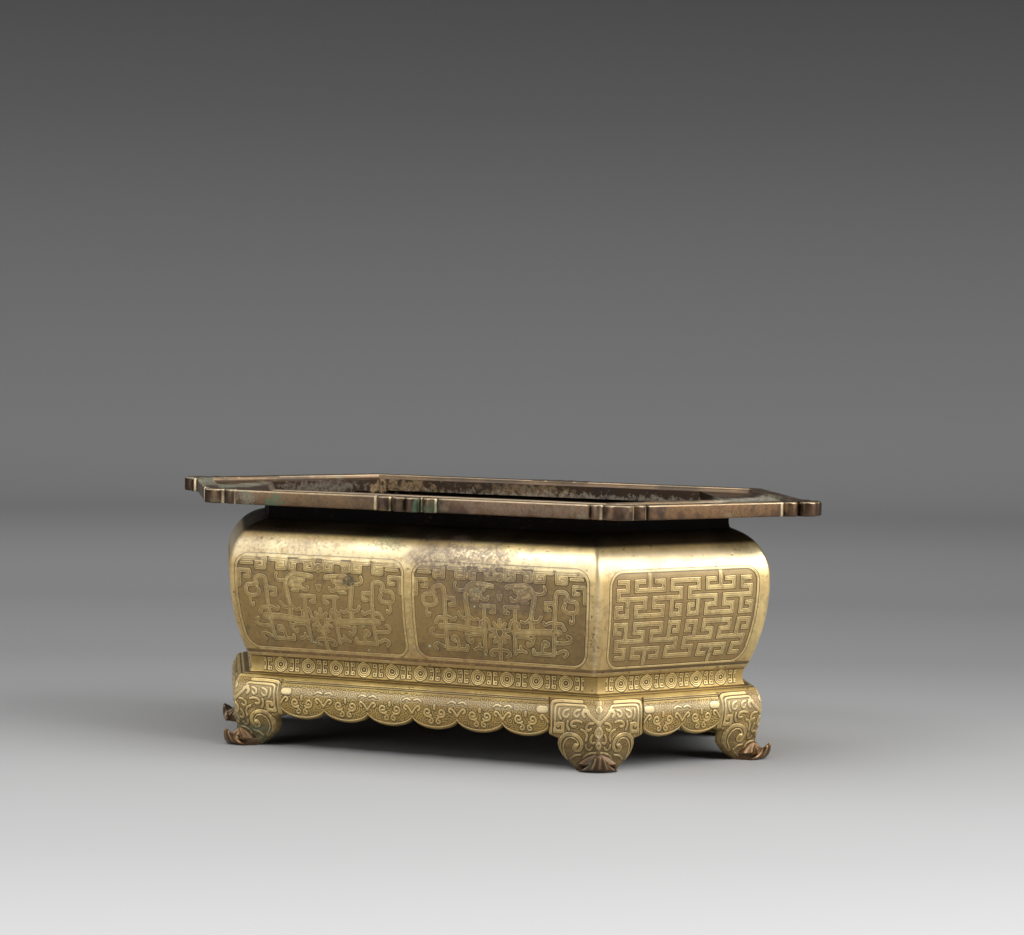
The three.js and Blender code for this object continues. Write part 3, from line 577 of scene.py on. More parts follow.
# Outer edge of a wing from the ground up, as (height, distance from the ridge)
wing_edge = np.array([
    (0.0, 12.6), (1.2, 15.4), (3.5, 18.6), (6.5, 22.4), (9.5, 25.4), (13.0, 27.6),
    (16.5, 28.6), (19.0, 28.4), (20.2, 28.9), (20.9, 32.0), (21.8, 34.3), (23.2, 35.4),
    (foot_height, 35.4)])

foot_relief = 0.35
wing_round = 1.3
wing_round_width = 1.8
wing_thinning = 2.0
inside_set_in = 0.8
scroll_eye_u = 15.6
scroll_eye_z = 15.6
scroll_rise = 0.7
eye_rise = 0.8
foot_scroll = eased([
    (22.8, 5.6), (26.6, 10.4), (27.7, 15.2), (27.0, 20.0), (23.4, 23.2), (18.4, 23.6),
    (13.8, 21.4), (11.6, 17.4), (12.4, 13.6), (15.8, 12.4), (17.8, 14.6), (16.4, 16.4)], 3)
foot_strokes = [
    (1.2, foot_scroll),
    (0.45, eased([(21.4, 6.2), (24.2, 10.8), (25.0, 15.0), (24.0, 18.6), (21.4, 20.9),
                  (18.2, 21.1), (15.4, 19.4), (14.2, 16.8)])),
    (1.5, [(15.8, 15.9), (15.8, 15.91)]),
    (0.95, eased([(34.2, 22.8), (34.2, 39.0), (34.0, 42.4), (31.0, 44.6), (12.0, 44.6)])),
    (0.7, eased([(31.2, 27.6), (31.2, 38.4), (30.8, 41.4), (28.0, 42.2), (14.0, 42.2),
                 (11.2, 42.4), (9.2, 41.8), (9.4, 39.8), (11.2, 39.8)])),
    (1.15, [(31.2, 26.0), (31.2, 24.6), (25.6, 24.6), (25.6, 29.8), (29.0, 29.8), (29.0, 28.2)]),
    (2.5, [(0.0, 40.2), (0.0, 40.21)]),
    (1.1, eased([(8.2, 39.0), (7.6, 36.8), (4.6, 34.4), (0.0, 30.6)])),
    (1.0, eased([(8.4, 39.0), (10.6, 39.0), (12.2, 37.0), (10.6, 35.2)])),
    (0.75, eased([(14.0, 39.4), (17.0, 38.8), (18.2, 36.0), (15.8, 34.4), (14.6, 36.4)])),
    (0.75, eased([(21.6, 39.4), (25.0, 38.4), (26.0, 35.0), (23.0, 33.8), (21.8, 36.0)])),
    (0.75, eased([(28.0, 39.4), (28.8, 36.0), (27.2, 33.0)])),
    (0.8, eased([(12.6, 31.6), (16.4, 32.6), (20.0, 31.0), (19.4, 28.4), (16.8, 28.6)])),
    (0.8, eased([(4.4, 31.2), (7.6, 31.0), (9.6, 28.4), (7.8, 26.0), (5.8, 27.4)])),
    (0.75, eased([(22.2, 31.6), (22.8, 28.8), (21.2, 26.2)])),
    (0.8, eased([(0.0, 28.4), (2.6, 26.4), (2.4, 23.2), (0.0, 21.4)])),
    (0.8, eased([(12.6, 26.8), (9.6, 25.6), (8.2, 22.6), (9.0, 19.8)])),
    (0.75, eased([(4.6, 23.6), (6.2, 20.6), (5.0, 17.6), (2.8, 18.6)])),
    (0.75, eased([(0.0, 18.4), (2.0, 16.4), (0.0, 14.2)])),
    (0.7, eased([(9.2, 16.8), (8.2, 13.6), (5.4, 13.4), (4.6, 15.2)])),
    (0.7, eased([(2.0, 11.8), (6.0, 11.4), (9.6, 9.4), (10.6, 6.6)])),
    (0.7, eased([(12.8, 10.0), (16.6, 9.6), (19.4, 7.0)])),
]


def with_inside(outside, inside, inner_grime, values):
    """Puts the inside of a piece after its outside on the same rings. Each is given as
    (along, depth, height). The inside carries plain values and its own grime, and the
    laid plan is the distance along and the height in metres."""
    outside, inside = np.broadcast_arrays(*outside), np.broadcast_arrays(*inside)
    along, depth, height = (np.concatenate(pair, axis=1) for pair in zip(outside, inside))
    plain = {"edge": 5.0, "field": 0.0, "wear_and_sheen": 0.0, "grime_and_shade": inner_grime}
    fields = {
        name: np.concatenate([np.broadcast_to(values[name], outside[0].shape),
                              np.full(inside[0].shape, inner)], axis=1)
        for name, inner in plain.items()}
    fields["laid"] = np.stack([along, height, 0.0 * along], axis=-1) * MILLIMETRE
    return along, depth, height, fields


def foot_shape(rows=108, columns=150, inner_columns=20):
    """Rings at each height run from one wing's edge over the ridge to the other's, and
    back inside. The fold is a hyperbola: the root of the distance from the ridge squared
    plus the ridge's rounding squared, times the sine of 30 degrees."""
    height = np.linspace(0.0, foot_height, rows)[:, None]
    reach = np.interp(height[:, 0], wing_edge[:, 0], wing_edge[:, 1])[:, None]
    along = np.linspace(-1.0, 1.0, columns)[None, :] * reach
    from_ridge = np.abs(along)
    from_edge = reach - from_ridge
    edge = stroke_edge(from_ridge, height, foot_strokes)
    scroll_gap = np.hypot(from_ridge - scroll_eye_u, height - scroll_eye_z)
    raised = foot_relief * smooth_step(edge, 0.45, -0.3)
    boss = scroll_rise * smooth_step(scroll_gap, 10.2, 6.0) * smooth_step(height, 2.0, 8.0)
    eye_boss = eye_rise * smooth_step(scroll_gap, 2.2, 0.8)
    round_off = wing_round * smooth_step(from_edge, wing_round_width, 0.0)
    depth = knee_line(height) + raised + boss + eye_boss - round_off
    inner_along = np.linspace(1.0, -1.0, inner_columns)[None, :] * (reach - inside_set_in)
    wall = foot_wall - wing_thinning * smooth_step(height, 20.0, 32.0)
    above_toe = smooth_step(height, 8.0, 20.0)
    on_ridge = 0.7 * smooth_step(from_ridge, 2.5, 0.5) * above_toe
    on_bands = 0.2 * smooth_step(edge, 0.0, -0.5) * above_toe
    # Painted highlight: the knee panel's upper part, about 30 to 44 mm up, is paled.
    painted_knee_sheen = 0.4 * smooth_step(height, 30.0, 36.0) * smooth_step(height, 44.0, 40.0)
    low_grime = 0.62 * smooth_step(height, 24.0, 3.0)
    folded, half_depth, rise, fields = with_inside(
        (along, depth, height), (inner_along, knee_line(height) - wall, height), 0.6, {
            "edge": edge,
            "field": smooth_step(from_edge, 0.3, 1.2),
            "wear_and_sheen": np.maximum(on_ridge, on_bands + painted_knee_sheen),
            "grime_and_shade": low_grime * (1.0 - 0.7 * smooth_step(edge, 0.0, -0.4)),
        })
    soft = np.where(np.arange(columns + inner_columns) < columns, ridge_round, 0.3)
    out = half_depth / np.cos(MITRE_TURN) - np.hypot(folded, soft) * np.sin(MITRE_TURN)
    return np.stack([out, folded * np.cos(MITRE_TURN), rise], axis=-1), fields


toe_half_width = 13.0
toe_height = 10.6
toe_reach = 10.7
toe_side_set_back = 8.4
toe_heel = 4.2
toe_profile = eased([
    (-1.0, 0.0), (-1.0, 1.15), (0.0, 1.05), (0.2, 0.84), (0.42, 0.66), (0.62, 0.68),
    (0.76, 0.88), (0.88, 1.04), (1.0, 1.0), (1.02, 0.84), (0.96, 0.55), (0.82, 0.24),
    (0.6, 0.05), (0.36, 0.0), (-1.0, 0.0)], 3)[:-1]


def toe_points(columns=121, ribs=5):
    """One profile carried across the toe, narrow at the ankle and fanned out in front:
    its reach falls off by a square of the share from the middle, its height by the power
    1.6, and the absolute cosine of the share makes the ribs."""
    share = np.linspace(-1.0, 1.0, columns)[:, None]
    rib = 1.0 - np.abs(np.cos(np.pi * ribs * share / 2))
    height = toe_height * (1.0 - 0.6 * np.abs(share) ** 1.6)
    heel = -toe_heel - toe_half_width * np.abs(share) * np.tan(MITRE_TURN)
    tip = toe_reach - toe_side_set_back * share ** 2
    forward = np.clip(toe_profile[None, :, 0], 0.0, 1.02)
    back = np.clip(-toe_profile[None, :, 0], 0.0, 1.0)
    lift = toe_profile[None, :, 1]
    grooved = smooth_step(lift, 0.1, 0.4) * smooth_step(forward, 0.0, 0.3)
    fan = 0.45 + 0.55 * smooth_step(forward, 0.0, 0.9) ** 0.7
    fan = fan + (1.0 - fan) * smooth_step(back, 0.0, 0.3)
    fan = fan * (1.0 - 0.4 * smooth_step(lift, 0.1, 1.0) * smooth_step(forward, 0.5, 0.9))
    out = forward * tip + back * heel - 0.6 * rib * grooved
    rise = lift * height - 0.5 * rib * grooved
    ankle = ankle_half_depth / np.cos(MITRE_TURN)
    across = toe_half_width * share * fan
    points = np.stack([ankle + out, across, np.maximum(rise, 0.0)], axis=-1)
    fields = {"wear_and_sheen": 0.6 * smooth_step(rib, 0.2, 0.0) * grooved,
              "grime_and_shade": 0.6 * smooth_step(rib, 0.4, 0.95) * grooved}
    return points, fields


def turned(points, turn, shift):
    """Points turned about the upright axis and moved along the length of the bowl."""
    x, y, z = points[..., 0], points[..., 1], points[..., 2]
    return np.stack([
        x * np.cos(turn) - y * np.sin(turn) + shift, x * np.sin(turn) + y * np.cos(turn), z],
        axis=-1)


foot_grid, foot_fields = foot_shape()
toe_grid, toe_fields = toe_points()
toe_bronze = bronze_material(
    "toe_bronze", metal=(0.2, 0.11, 0.046), tarnish=(0.06, 0.04, 0.022), crust=(0.08, 0.12, 0.07),
    amounts=(0.9, 0.7, 0.8), polish=0.34, wear_and_sheen_tone=(0.55, 0.36, 0.2))

for corner, name in enumerate(corner_names):
    turn = (corner - 2) * np.pi / 3
    shift = base_spine if corner in (1, 2, 3) else -base_spine
    mesh = loop_mesh("foot_" + name, turned(foot_grid, turn, shift), foot_fields)
    add_piece("scroll_foot_" + name, mesh, foot_bronze, "foot_bronze", "foot_" + name)
    mesh = loop_mesh("toe_" + name, turned(toe_grid, turn, shift), toe_fields)
    add_piece("ribbed_toe_" + name, mesh, toe_bronze, "foot_bronze", "foot_" + name)

# Apron
# Six cast aprons hang between the feet, each with round lappets that meet in sharp
# notches. A raised rim follows the lappets, with scrolls and a curled heart between.

apron_wall = 3.8
apron_band_bottom = 42.8
apron_line_height = 44.2
apron_relief = 0.4
apron_tuck = 1.4
beside_foot = 0.3
lappet_notch = 26.2
lappet_bottom = 19.6
lappet_slope = 0.86
lappet_rim = 1.1
lappet_rim_half_width = 0.85
lappet_rim_field = 2.6
long_lappets = 6
short_lappets = 2


def is_long(side):
    """Whether a side is the front or the back."""
    return side % 3 == 0


def lay_on_side(side, along, half_depth, height, spine):
    """Points of one side from its own measures: along it, out from the middle line, up."""
    turn = side * np.pi / 3
    shift = 0.0 if is_long(side) else (spine if side < 3 else -spine)
    flat = np.stack(np.broadcast_arrays(along, -half_depth, height), axis=-1)
    return turned(flat, turn, shift)


def lappet_edge(along, reach, count):
    """Lower edge of an apron: a notch line less the drop times sine to the power 1.2,
    with the angle taken from the share of the lappet's width."""
    share = np.clip((along + reach) / (2 * reach), 0.0, 1.0) * count
    inside = share - np.minimum(np.floor(share), count - 1)
    sine = np.sqrt(np.clip(1.0 - (1.0 - 2.0 * inside) ** 2, 0.0, 1.0))
    return lappet_notch - (lappet_notch - lappet_bottom) * sine ** 1.2


def apron_strokes(reach, count):
    """For each lappet a bud between two curls over two smaller ones, a curled heart over
    each notch, and a blank tongue beside each foot."""
    strokes = []
    width = 2 * reach / count
    for number in range(count + 1):
        notch = -reach + width * number
        for hand in (-1, 1):
            heart = [(notch, 29.4), (notch + hand * 2.4, 33.2), (notch + hand * 5.0, 35.0),
                     (notch + hand * 6.2, 32.8), (notch + hand * 4.4, 31.6)]
            strokes.append((0.65, eased(heart)))
            strokes.append((0.6, eased([(notch + hand * 1.2, 38.2), (notch + hand * 4.4, 39.4),
                                        (notch + hand * 6.8, 37.6)])))
    for number in range(count):
        middle = -reach + width * (number + 0.5)
        strokes.append((0.9, [(middle, 35.6), (middle, 33.4)]))
        for hand in (-1, 1):
            turns = 0.6 if hand > 0 else 0.9
            strokes.append((0.65, curl(middle + hand * 5.0, 31.0, 3.2, 0.8, turns, hand * 1.25)))
            strokes.append((0.55, curl(middle + hand * 3.0, 25.2, 2.2, 0.6, 0.25, hand * 1.0)))
    for hand in (-1, 1):
        strokes.append((2.3, [(hand * (reach - 2.9), 38.2), (hand * (reach - 6.6), 38.2)]))
    return strokes


def apron_grid(long_side):
    """Columns along the side run down the outside to the lappet edge and up inside."""
    count = long_lappets if long_side else short_lappets
    spine = base_spine if long_side else 0.0

    def reach_at(half_depth):
        """How far the apron reaches along its side, up to the feet, at a half depth."""
        return spine + half_depth * np.tan(MITRE_TURN) - knee_width - beside_foot

    reach = reach_at(knee_half_depth)
    share = np.linspace(-1.0, 1.0, int(2 * reach / 0.5))[:, None]
    low = lappet_edge(share * reach, reach, count)
    height = foot_height + (low - foot_height) * np.linspace(0.0, 1.0, 62)[None, :]
    across = share * reach_at(knee_line(height))
    rim_gap = (height - low) * lappet_slope
    edge = stroke_edge(across, height, apron_strokes(reach, count))
    edge = np.where(rim_gap < lappet_rim_field, 5.0, edge)
    edge = np.minimum(edge, np.abs(rim_gap - lappet_rim) - lappet_rim_half_width)
    in_band = height > apron_band_bottom
    edge = np.where(in_band, np.abs(height - apron_line_height) - 0.25, edge)
    raised = apron_relief * smooth_step(edge, 0.45, -0.3)
    tuck = apron_tuck * smooth_step(height - low, 1.3, 0.0)
    inner_height = foot_height + (low - foot_height) * np.linspace(1.0, 0.0, 12)[None, :]
    inner_line = knee_line(inner_height)
    on_scrolls = 0.12 * smooth_step(edge, 0.0, -0.5) * ~in_band
    # Painted highlight: a pale band on the apron's swell, about 34 to 42 mm up.
    painted_swell_sheen = 0.34 * smooth_step(height, 34.0, 38.0) * smooth_step(height, 42.0, 40.0)
    low_grime = 0.38 * smooth_step(height, 31.0, 19.0)
    return with_inside(
        (across, knee_line(height) + raised - tuck, height),
        (share * reach_at(inner_line), inner_line - apron_wall, inner_height), 0.7, {
            "edge": edge,
            "field": smooth_step(height, 42.6, 42.0),
            "wear_and_sheen": on_scrolls + painted_swell_sheen,
            # Painted shade: above 41.6 mm the apron's top strip under the ledge is darkened.
            "grime_and_shade": low_grime + 0.42 * smooth_step(height, 41.6, 43.2),
        })


def add_bars(piece, node, grid, spine, material, slot):
    """Lays a grid of a long side and one of a short side on all six sides of the bowl."""
    grids = {True: grid(True), False: grid(False)}
    for side, name in enumerate(side_names):
        along, depth, height, fields = grids[is_long(side)]
        mesh = loop_mesh(node + name, lay_on_side(side, along, depth, height, spine), fields)
        add_piece(piece + name, mesh, material, slot, node + name)


apron_stains = [
    ((0.0, 0.0, 0.027), (0.25, 0.2, 0.012), 3.6, 150.0, (0.56, 0.34, 0.08), 0.4)]
apron_bronze = bronze_material(
    "apron_bronze", metal=(0.74, 0.54, 0.18), tarnish=(0.42, 0.27, 0.09), crust=(0.22, 0.33, 0.22),
    amounts=(0.75, 0.25, 0.8), polish=0.36, wear_and_sheen_tone=pale_wear_and_sheen_tone,
    chased=chasing((0.38, 0.26, 0.09), line_depth=3.0, field_amount=0.25,
                   spiral_amount=0.95, spirals=215.0),
    stains=apron_stains)
add_bars("lappet_apron_", "apron_", apron_grid, base_spine, apron_bronze, "base_bronze")

# Base moulding
# Six cast bars mitred round the foot of the body: a rounded ledge over the apron, and a
# hollow that carries a row of ringed medallions with square key marks between them.

base_bottom = 46.0
base_top = 61.0
waist_height = 54.5
base_half_depth = 107.3
waist_half_depth = 104.3
ledge_width = 7.5
ledge_rise = 3.0
ledge_turn = np.pi / 3
base_wall = 5.0
seat_depth = 97.0
seat_height = 57.5
hollow_bottom = 50.0
hollow_top = 59.4
medallion_height = 54.6
medallion_boss = 0.7
medallion_rings = [2.1, 3.4, 4.6]
ring_half_width = 0.38
mark_half_width = 0.35
base_relief = 0.3
base_line_depth = 0.2
mark_top = 58.6
mark_bottom = 50.8
ledge_line_height = 48.4
top_line_height = 60.2
long_row = (5, 21.0)
short_row = (2, 20.7)


def base_line(steps=16):
    """Outside of the base from the top down: two quarter ellipses make the hollow, and
    the first 60 degrees of a third round the ledge down to the knees."""
    quarter = np.linspace(0.0, np.pi / 2, steps)
    part = np.linspace(0.0, ledge_turn, steps)
    ledge_edge = ledge_half_depth - ledge_width
    upper = np.stack([
        base_half_depth - (base_half_depth - waist_half_depth) * np.sin(quarter),
        waist_height + (base_top - waist_height) * np.cos(quarter)], -1)
    lower = np.stack([
        ledge_edge - (ledge_edge - waist_half_depth) * np.cos(quarter),
        waist_height - (waist_height - base_bottom - ledge_rise) * np.sin(quarter)], -1)
    roll = np.stack([
        ledge_edge + ledge_width * np.sin(part) / np.sin(ledge_turn),
        base_bottom + ledge_rise * (np.cos(part) - np.cos(ledge_turn))
        / (1.0 - np.cos(ledge_turn))], -1)
    return np.concatenate([upper, lower[1:], roll[1:]])


def even_steps(line, step):
    """The same line with points at equal distances along it."""
    travel = np.concatenate([[0.0], np.cumsum(np.hypot(*np.diff(line, axis=0).T))])
    at = np.linspace(0.0, travel[-1], int(travel[-1] / step) + 1)
    return np.stack([np.interp(at, travel, line[:, 0]), np.interp(at, travel, line[:, 1])], -1)


def outward(line):
    """Unit directions square to a line that runs downwards, pointing out of the wall."""
    run = np.gradient(line, axis=0)
    run /= np.hypot(run[:, 0], run[:, 1])[:, None]
    return np.stack([-run[:, 1], run[:, 0]], -1)


def medallion_edge(along, height, half_count, pitch):
    """Rings about the nearest medallion's middle, and a square spiral between two."""
    number = np.clip(np.round(along / pitch), -half_count, half_count)
    from_middle = np.hypot(along - number * pitch, height - medallion_height)
    edge = from_middle - medallion_boss
    for radius in medallion_rings:
        edge = np.minimum(edge, np.abs(from_middle - radius) - ring_half_width)
    between = along - (np.floor(along / pitch) + 0.5) * pitch
    marks = []
    for hand in (-1, 1):
        near, middle, far = 0.9 * hand, 1.9 * hand, 3.4 * hand
        marks += [
            [(near, mark_top), (far, mark_top), (far, 56.4), (middle, 56.4), (middle, 57.5)],
            [(near, mark_bottom), (far, mark_bottom), (far, 52.8), (middle, 52.8),
             (middle, 51.8)],
            [(near, mark_top), (near, mark_bottom)],
        ]
    marks = [(mark_half_width, mark) for mark in marks]
    inside = np.abs(along) < (half_count + 0.62) * pitch
    return np.where(inside, np.minimum(edge, stroke_edge(between, height, marks)), 5.0)


def mitred(line, share, spine):
    """A line of (half depth, height) points carried from mitre to mitre: at each depth
    the side reaches the spine plus the depth times the tangent of 30 degrees."""
    depth, height = line[None, :, 0], line[None, :, 1]
    return share * (spine + depth * np.tan(MITRE_TURN)), depth, height


def base_grid(long_side):
    """Columns from mitre to mitre; each runs down the outside and up a plain inside."""
    spine = base_spine if long_side else 0.0
    outside = even_steps(base_line(), 0.42)
    direction = outward(outside)
    inside = np.array([
        (ledge_half_depth - base_wall, base_bottom), (waist_half_depth - base_wall, waist_height),
        (waist_half_depth - base_wall, seat_height), (seat_depth, seat_height),
        (seat_depth, base_top)])
    columns = int(2 * (spine + ledge_half_depth * np.tan(MITRE_TURN)) / 0.5)
    share = np.linspace(-1.0, 1.0, columns)[:, None]
    along, depth, height = np.broadcast_arrays(*mitred(outside, share, spine))
    edge = medallion_edge(along, height, *(long_row if long_side else short_row))
    lines = np.minimum(np.abs(height - ledge_line_height) - 0.2,
                       np.abs(height - top_line_height) - 0.25)
    raised = base_relief * smooth_step(edge, 0.35, -0.2)
    raised -= base_line_depth * smooth_step(lines, 0.3, 0.0)
    in_hollow = smooth_step(height, hollow_bottom - 0.4, hollow_bottom)
    in_hollow = in_hollow * smooth_step(height, hollow_top + 0.6, hollow_top)
    rise = np.clip(height + direction[None, :, 1] * raised, base_bottom, base_top)
    return with_inside(
        (along, depth + direction[None, :, 0] * raised, rise),
        mitred(inside, share, spine), 0.7, {
            "edge": np.minimum(edge, np.where(lines < 0.6, lines, 5.0)),
            "field": in_hollow,
            "wear_and_sheen": 0.15 * smooth_step(edge, 0.0, -0.3) * in_hollow,
            "grime_and_shade": 0.06 + 0.24 * smooth_step(height, 49.8, 47.6),
        })


base_bronze = bronze_material(
    "base_bronze", metal=(0.86, 0.63, 0.22), tarnish=(0.5, 0.33, 0.1), crust=(0.22, 0.33, 0.22),
    amounts=(0.75, 0.25, 0.8), polish=0.36, wear_and_sheen_tone=gold_tone,
    chased=chasing((0.46, 0.33, 0.12), line_depth=3.0, field_amount=0.15,
                   spiral_amount=0.45, spirals=420.0))
add_bars("base_moulding_bar_", "base_moulding_", base_grid, base_spine, base_bronze,
         "base_bronze")

# Floor
# A flat bronze plate dropped into the foot of the bowl, dull and dark with old soil.

floor_bronze = bronze_material(
    "floor_bronze", metal=(0.2, 0.14, 0.1), tarnish=(0.09, 0.06, 0.05), crust=(0.2, 0.24, 0.19),
    amounts=(0.8, 0.7, 0.8), polish=0.55)
floor_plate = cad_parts["floor_plate"]
for material_slot in floor_plate.material_slots:
    material_slot.material = floor_bronze

# Body
# Six cast bronze walls, mitred and brazed into an elongated hexagon with a rolled
# shoulder. Each long wall has two sunk panels of scrolling beasts about a flower, and
# each short wall one sunk panel of key fret.

body_spine = 55.0 / np.cos(MITRE_TURN)
belly_half_depth = 123.6
neck_half_depth = 95.5
body_foot_half_depth = 110.3
shoulder_top = 152.5
belly_height = 122.0
body_bottom = 61.0
body_wall = 4.0
seat_edge = 89.0
corner_round = 4.0
fret_panel_middle = 97.0
beast_panel_middle = 98.0
panel_half_height = 31.0
fret_panel_half_width = 60.2
fret_panel_corner = 9.0
beast_panel_half_width = 61.8
beast_panel_corner = 8.0
frame_set_off = 0.7
frame_half_width = 0.75
panel_depth = 0.3
panel_split = -1.6
left_panel_middle = -67.4
right_panel_middle = 65.4
foot_line_heights = [63.2, 64.9]


def body_line(steps=160):
    """From the neck down: a superellipse of power 1.9 for the shoulder, then a wall that
    draws in by the power 2.2 of the drop."""
    angle = np.linspace(0.0, np.pi / 2, steps)
    drop = np.linspace(0.0, 1.0, steps)
    shoulder = np.stack([
        neck_half_depth + (belly_half_depth - neck_half_depth) * np.sin(angle) ** (2 / 1.9),
        belly_height + (shoulder_top - belly_height) * np.cos(angle) ** (2 / 1.9)], -1)
    wall = np.stack([
        belly_half_depth - (belly_half_depth - body_foot_half_depth) * drop ** 2.2,
        belly_height - (belly_height - body_bottom) * drop], -1)
    return np.concatenate([shoulder, wall[1:]])


def panel_gap(along, height, half_width, half_height, corner):
    """Distance outside a rectangle with round corners, less than 0 within it."""
    over = np.abs(along) - half_width + corner
    above = np.abs(height) - half_height + corner
    outside = np.hypot(np.maximum(over, 0.0), np.maximum(above, 0.0))
    return outside + np.minimum(np.maximum(over, above), 0.0) - corner


fret_quarter = [
    [(0, 4.5), (1.5, 4.5), (1.5, 3.5), (0.5, 3.5), (0.5, 2.5), (3.5, 2.5), (3.5, 1.5),
     (2.5, 1.5), (2.5, 0.5), (5.5, 0.5), (5.5, 1.5), (4.5, 1.5), (4.5, 2.5), (7.5, 2.5),
     (7.5, 3.5), (6.5, 3.5), (6.5, 4.5), (7.4, 4.5)],
    [(4, 5.5), (4, 3.5)],
    [(2.5, 3.5), (5.5, 3.5)],
    [(5.5, 3.5), (5.5, 4.5), (4.7, 4.5)],
    [(2.5, 3.5), (2.5, 4.5), (3.3, 4.5)],
    [(6.5, 2.5), (6.5, 0.5), (7.7, 0.5), (7.7, 1.5), (7.2, 1.5)],
    [(1.5, 2.5), (1.5, 0.5), (0.5, 0.5), (0.5, 1.5), (0.9, 1.5)],
]
fret_pitch_along = 7.3
fret_pitch_up = 5.55
fret_half_width = 1.55


def fret_edge(along, height):
    """Distance outside the fret's bands: one quarter of it, mirrored both ways."""
    strokes = [
        (fret_half_width, [(x * fret_pitch_along, y * fret_pitch_up) for x, y in stroke])
        for stroke in fret_quarter]
    above = np.abs(height - fret_panel_middle)
    return stroke_edge(np.abs(along), above, strokes, square=True)


band = 1.15
beast_half = [
    (1.0, curl(0.0, 122.8, 2.0, 2.0, 0.0, 1.0, 16)),
    (band, [(4, 128.4), (4, 121.5), (10, 121.5), (10, 125), (7.4, 125)]),
    (band, [(4, 127.4), (15.6, 127)]),
    (band, [(17.4, 126.2), (21.7, 126.2), (21.7, 121.5), (18.2, 121.5), (18.2, 123.6)]),
    (band, [(37, 127.2), (25, 127.2), (25, 121.4), (31.2, 121.4), (31.2, 124.6), (28, 124.6)]),
    (band, [(59, 127), (40.8, 127), (40.8, 121.2), (47, 121.2), (47, 124), (44, 124)]),
    (0.7, [(50.4, 123.8), (58.8, 123.8)]),
    (band, [(60.4, 109), (60.4, 118.8), (52.6, 118.8), (52.6, 114.6), (55.8, 114.6)]),
    (1.3, eased([(39.4, 73.4), (39.6, 112.6), (41.4, 115.4), (46.6, 115.2), (48.6, 112.2),
                 (46.8, 110.2)])),
    (band, eased([(49.6, 109.6), (54.8, 109.4), (55.6, 105.4), (54.4, 102.0), (47.6, 102.0),
                  (45.0, 105.0), (46.6, 107.2)])),
    (0.7, eased([(52.6, 101.4), (53.2, 96.4), (51.2, 94.6), (50.4, 97.0)])),
    (band, [(40, 107.6), (33, 107.6), (33, 103.2), (35.8, 103.2)]),
    (1.5, eased([(5.4, 116.6), (10.6, 117.4), (15.0, 117.6), (19.0, 118.2), (23.2, 115.6),
                 (25.0, 110.6), (24.0, 105.0), (22.6, 96.4)])),
    (1.9, eased([(12.0, 114.6), (17.0, 114.8), (21.6, 112.6), (19.8, 110.4), (14.6, 110.8)])),
    (1.0, eased([(19.0, 109.6), (14.2, 109.2), (9.4, 107.2), (8.2, 109.6)])),
    (0.8, eased([(24.8, 113.6), (29.6, 112.8), (33.0, 115.2), (31.6, 118.0)])),
    (0.7, [(15.6, 107), (20.2, 107)]),
    (0.9, eased([(29.8, 98.4), (28.2, 95.2), (24.2, 94.8), (22.6, 97.0)])),
    (0.8, eased([(15.6, 94.8), (18.4, 93.4), (21.6, 96.6)])),
    (1.7, [(23.0, 94.0), (23.6, 89.0)]),
    (1.9, eased([(43.0, 88.4), (32.0, 88.8), (21.0, 87.4), (11.0, 87.0)])),
    (0.7, eased([(11.0, 84.4), (19.0, 84.2), (24.6, 82.8)])),
    (1.2, [(11.1, 103.4), (11.1, 73.0)]),
    (band, [(13.4, 103.6), (3.8, 103.6), (3.8, 99.8), (6.2, 99.8)]),
    (0.8, eased([(11.0, 95.6), (8.2, 94.8), (7.4, 91.0)])),
    (0.8, eased([(11.0, 93.6), (13.8, 93.4), (14.2, 90.4)])),
    (band, [(39.2, 73.6), (24.8, 73.6), (24.4, 76.0)]),
    (1.0, eased([(31.0, 74.0), (30.8, 80.6), (33.2, 82.6), (35.6, 80.4), (33.6, 79.0)])),
    (1.0, eased([(24.8, 84.0), (23.6, 80.0), (20.6, 78.4), (20.2, 80.4)])),
    (0.9, eased([(19.0, 74.2), (15.0, 75.6), (15.0, 77.8)])),
    (0.9, [(15.4, 75.0), (11.4, 74.6)]),
    (1.0, eased([(40.0, 81.8), (50.4, 81.8), (51.6, 85.6), (48.8, 86.6)])),
    (1.2, eased([(40.0, 94.0), (44.6, 94.6), (46.6, 91.0)])),
    (0.8, eased([(38.6, 95.4), (35.0, 94.6), (33.0, 92.8), (31.8, 95.0)])),
    (0.9, eased([(42.0, 75.0), (46.8, 77.2), (50.0, 75.2), (47.4, 72.8)])),
    (1.3, [(0.0, 108.4), (0.0, 109.6)]),
    (0.8, [(0.0, 110.4), (1.6, 111.0)]),
    (1.4, [(0.0, 89.8), (0.0, 94.6)]),
    (1.1, [(2.2, 89.4), (4.0, 92.4)]),
    (1.1, [(3.2, 87.6), (7.2, 88.4)]),
    (1.1, [(3.0, 85.4), (6.8, 83.6)]),
    (1.1, [(1.8, 83.4), (3.8, 80.2)]),
    (1.6, [(0.0, 81.4), (0.0, 78.6)]),
    (1.2, [(0.0, 79.0), (0.0, 68.0)]),
    (0.9, eased([(0.8, 74.8), (6.2, 74.6), (7.8, 71.6), (5.0, 70.6)])),
]


def beast_edge(along, height):
    """Distance outside the beasts' bands, mirrored about the middle of one panel, and
    the distance from that middle."""
    middle = np.where(along < panel_split, left_panel_middle, right_panel_middle)
    return stroke_edge(np.abs(along - middle), height, beast_half) - 0.3, along - middle


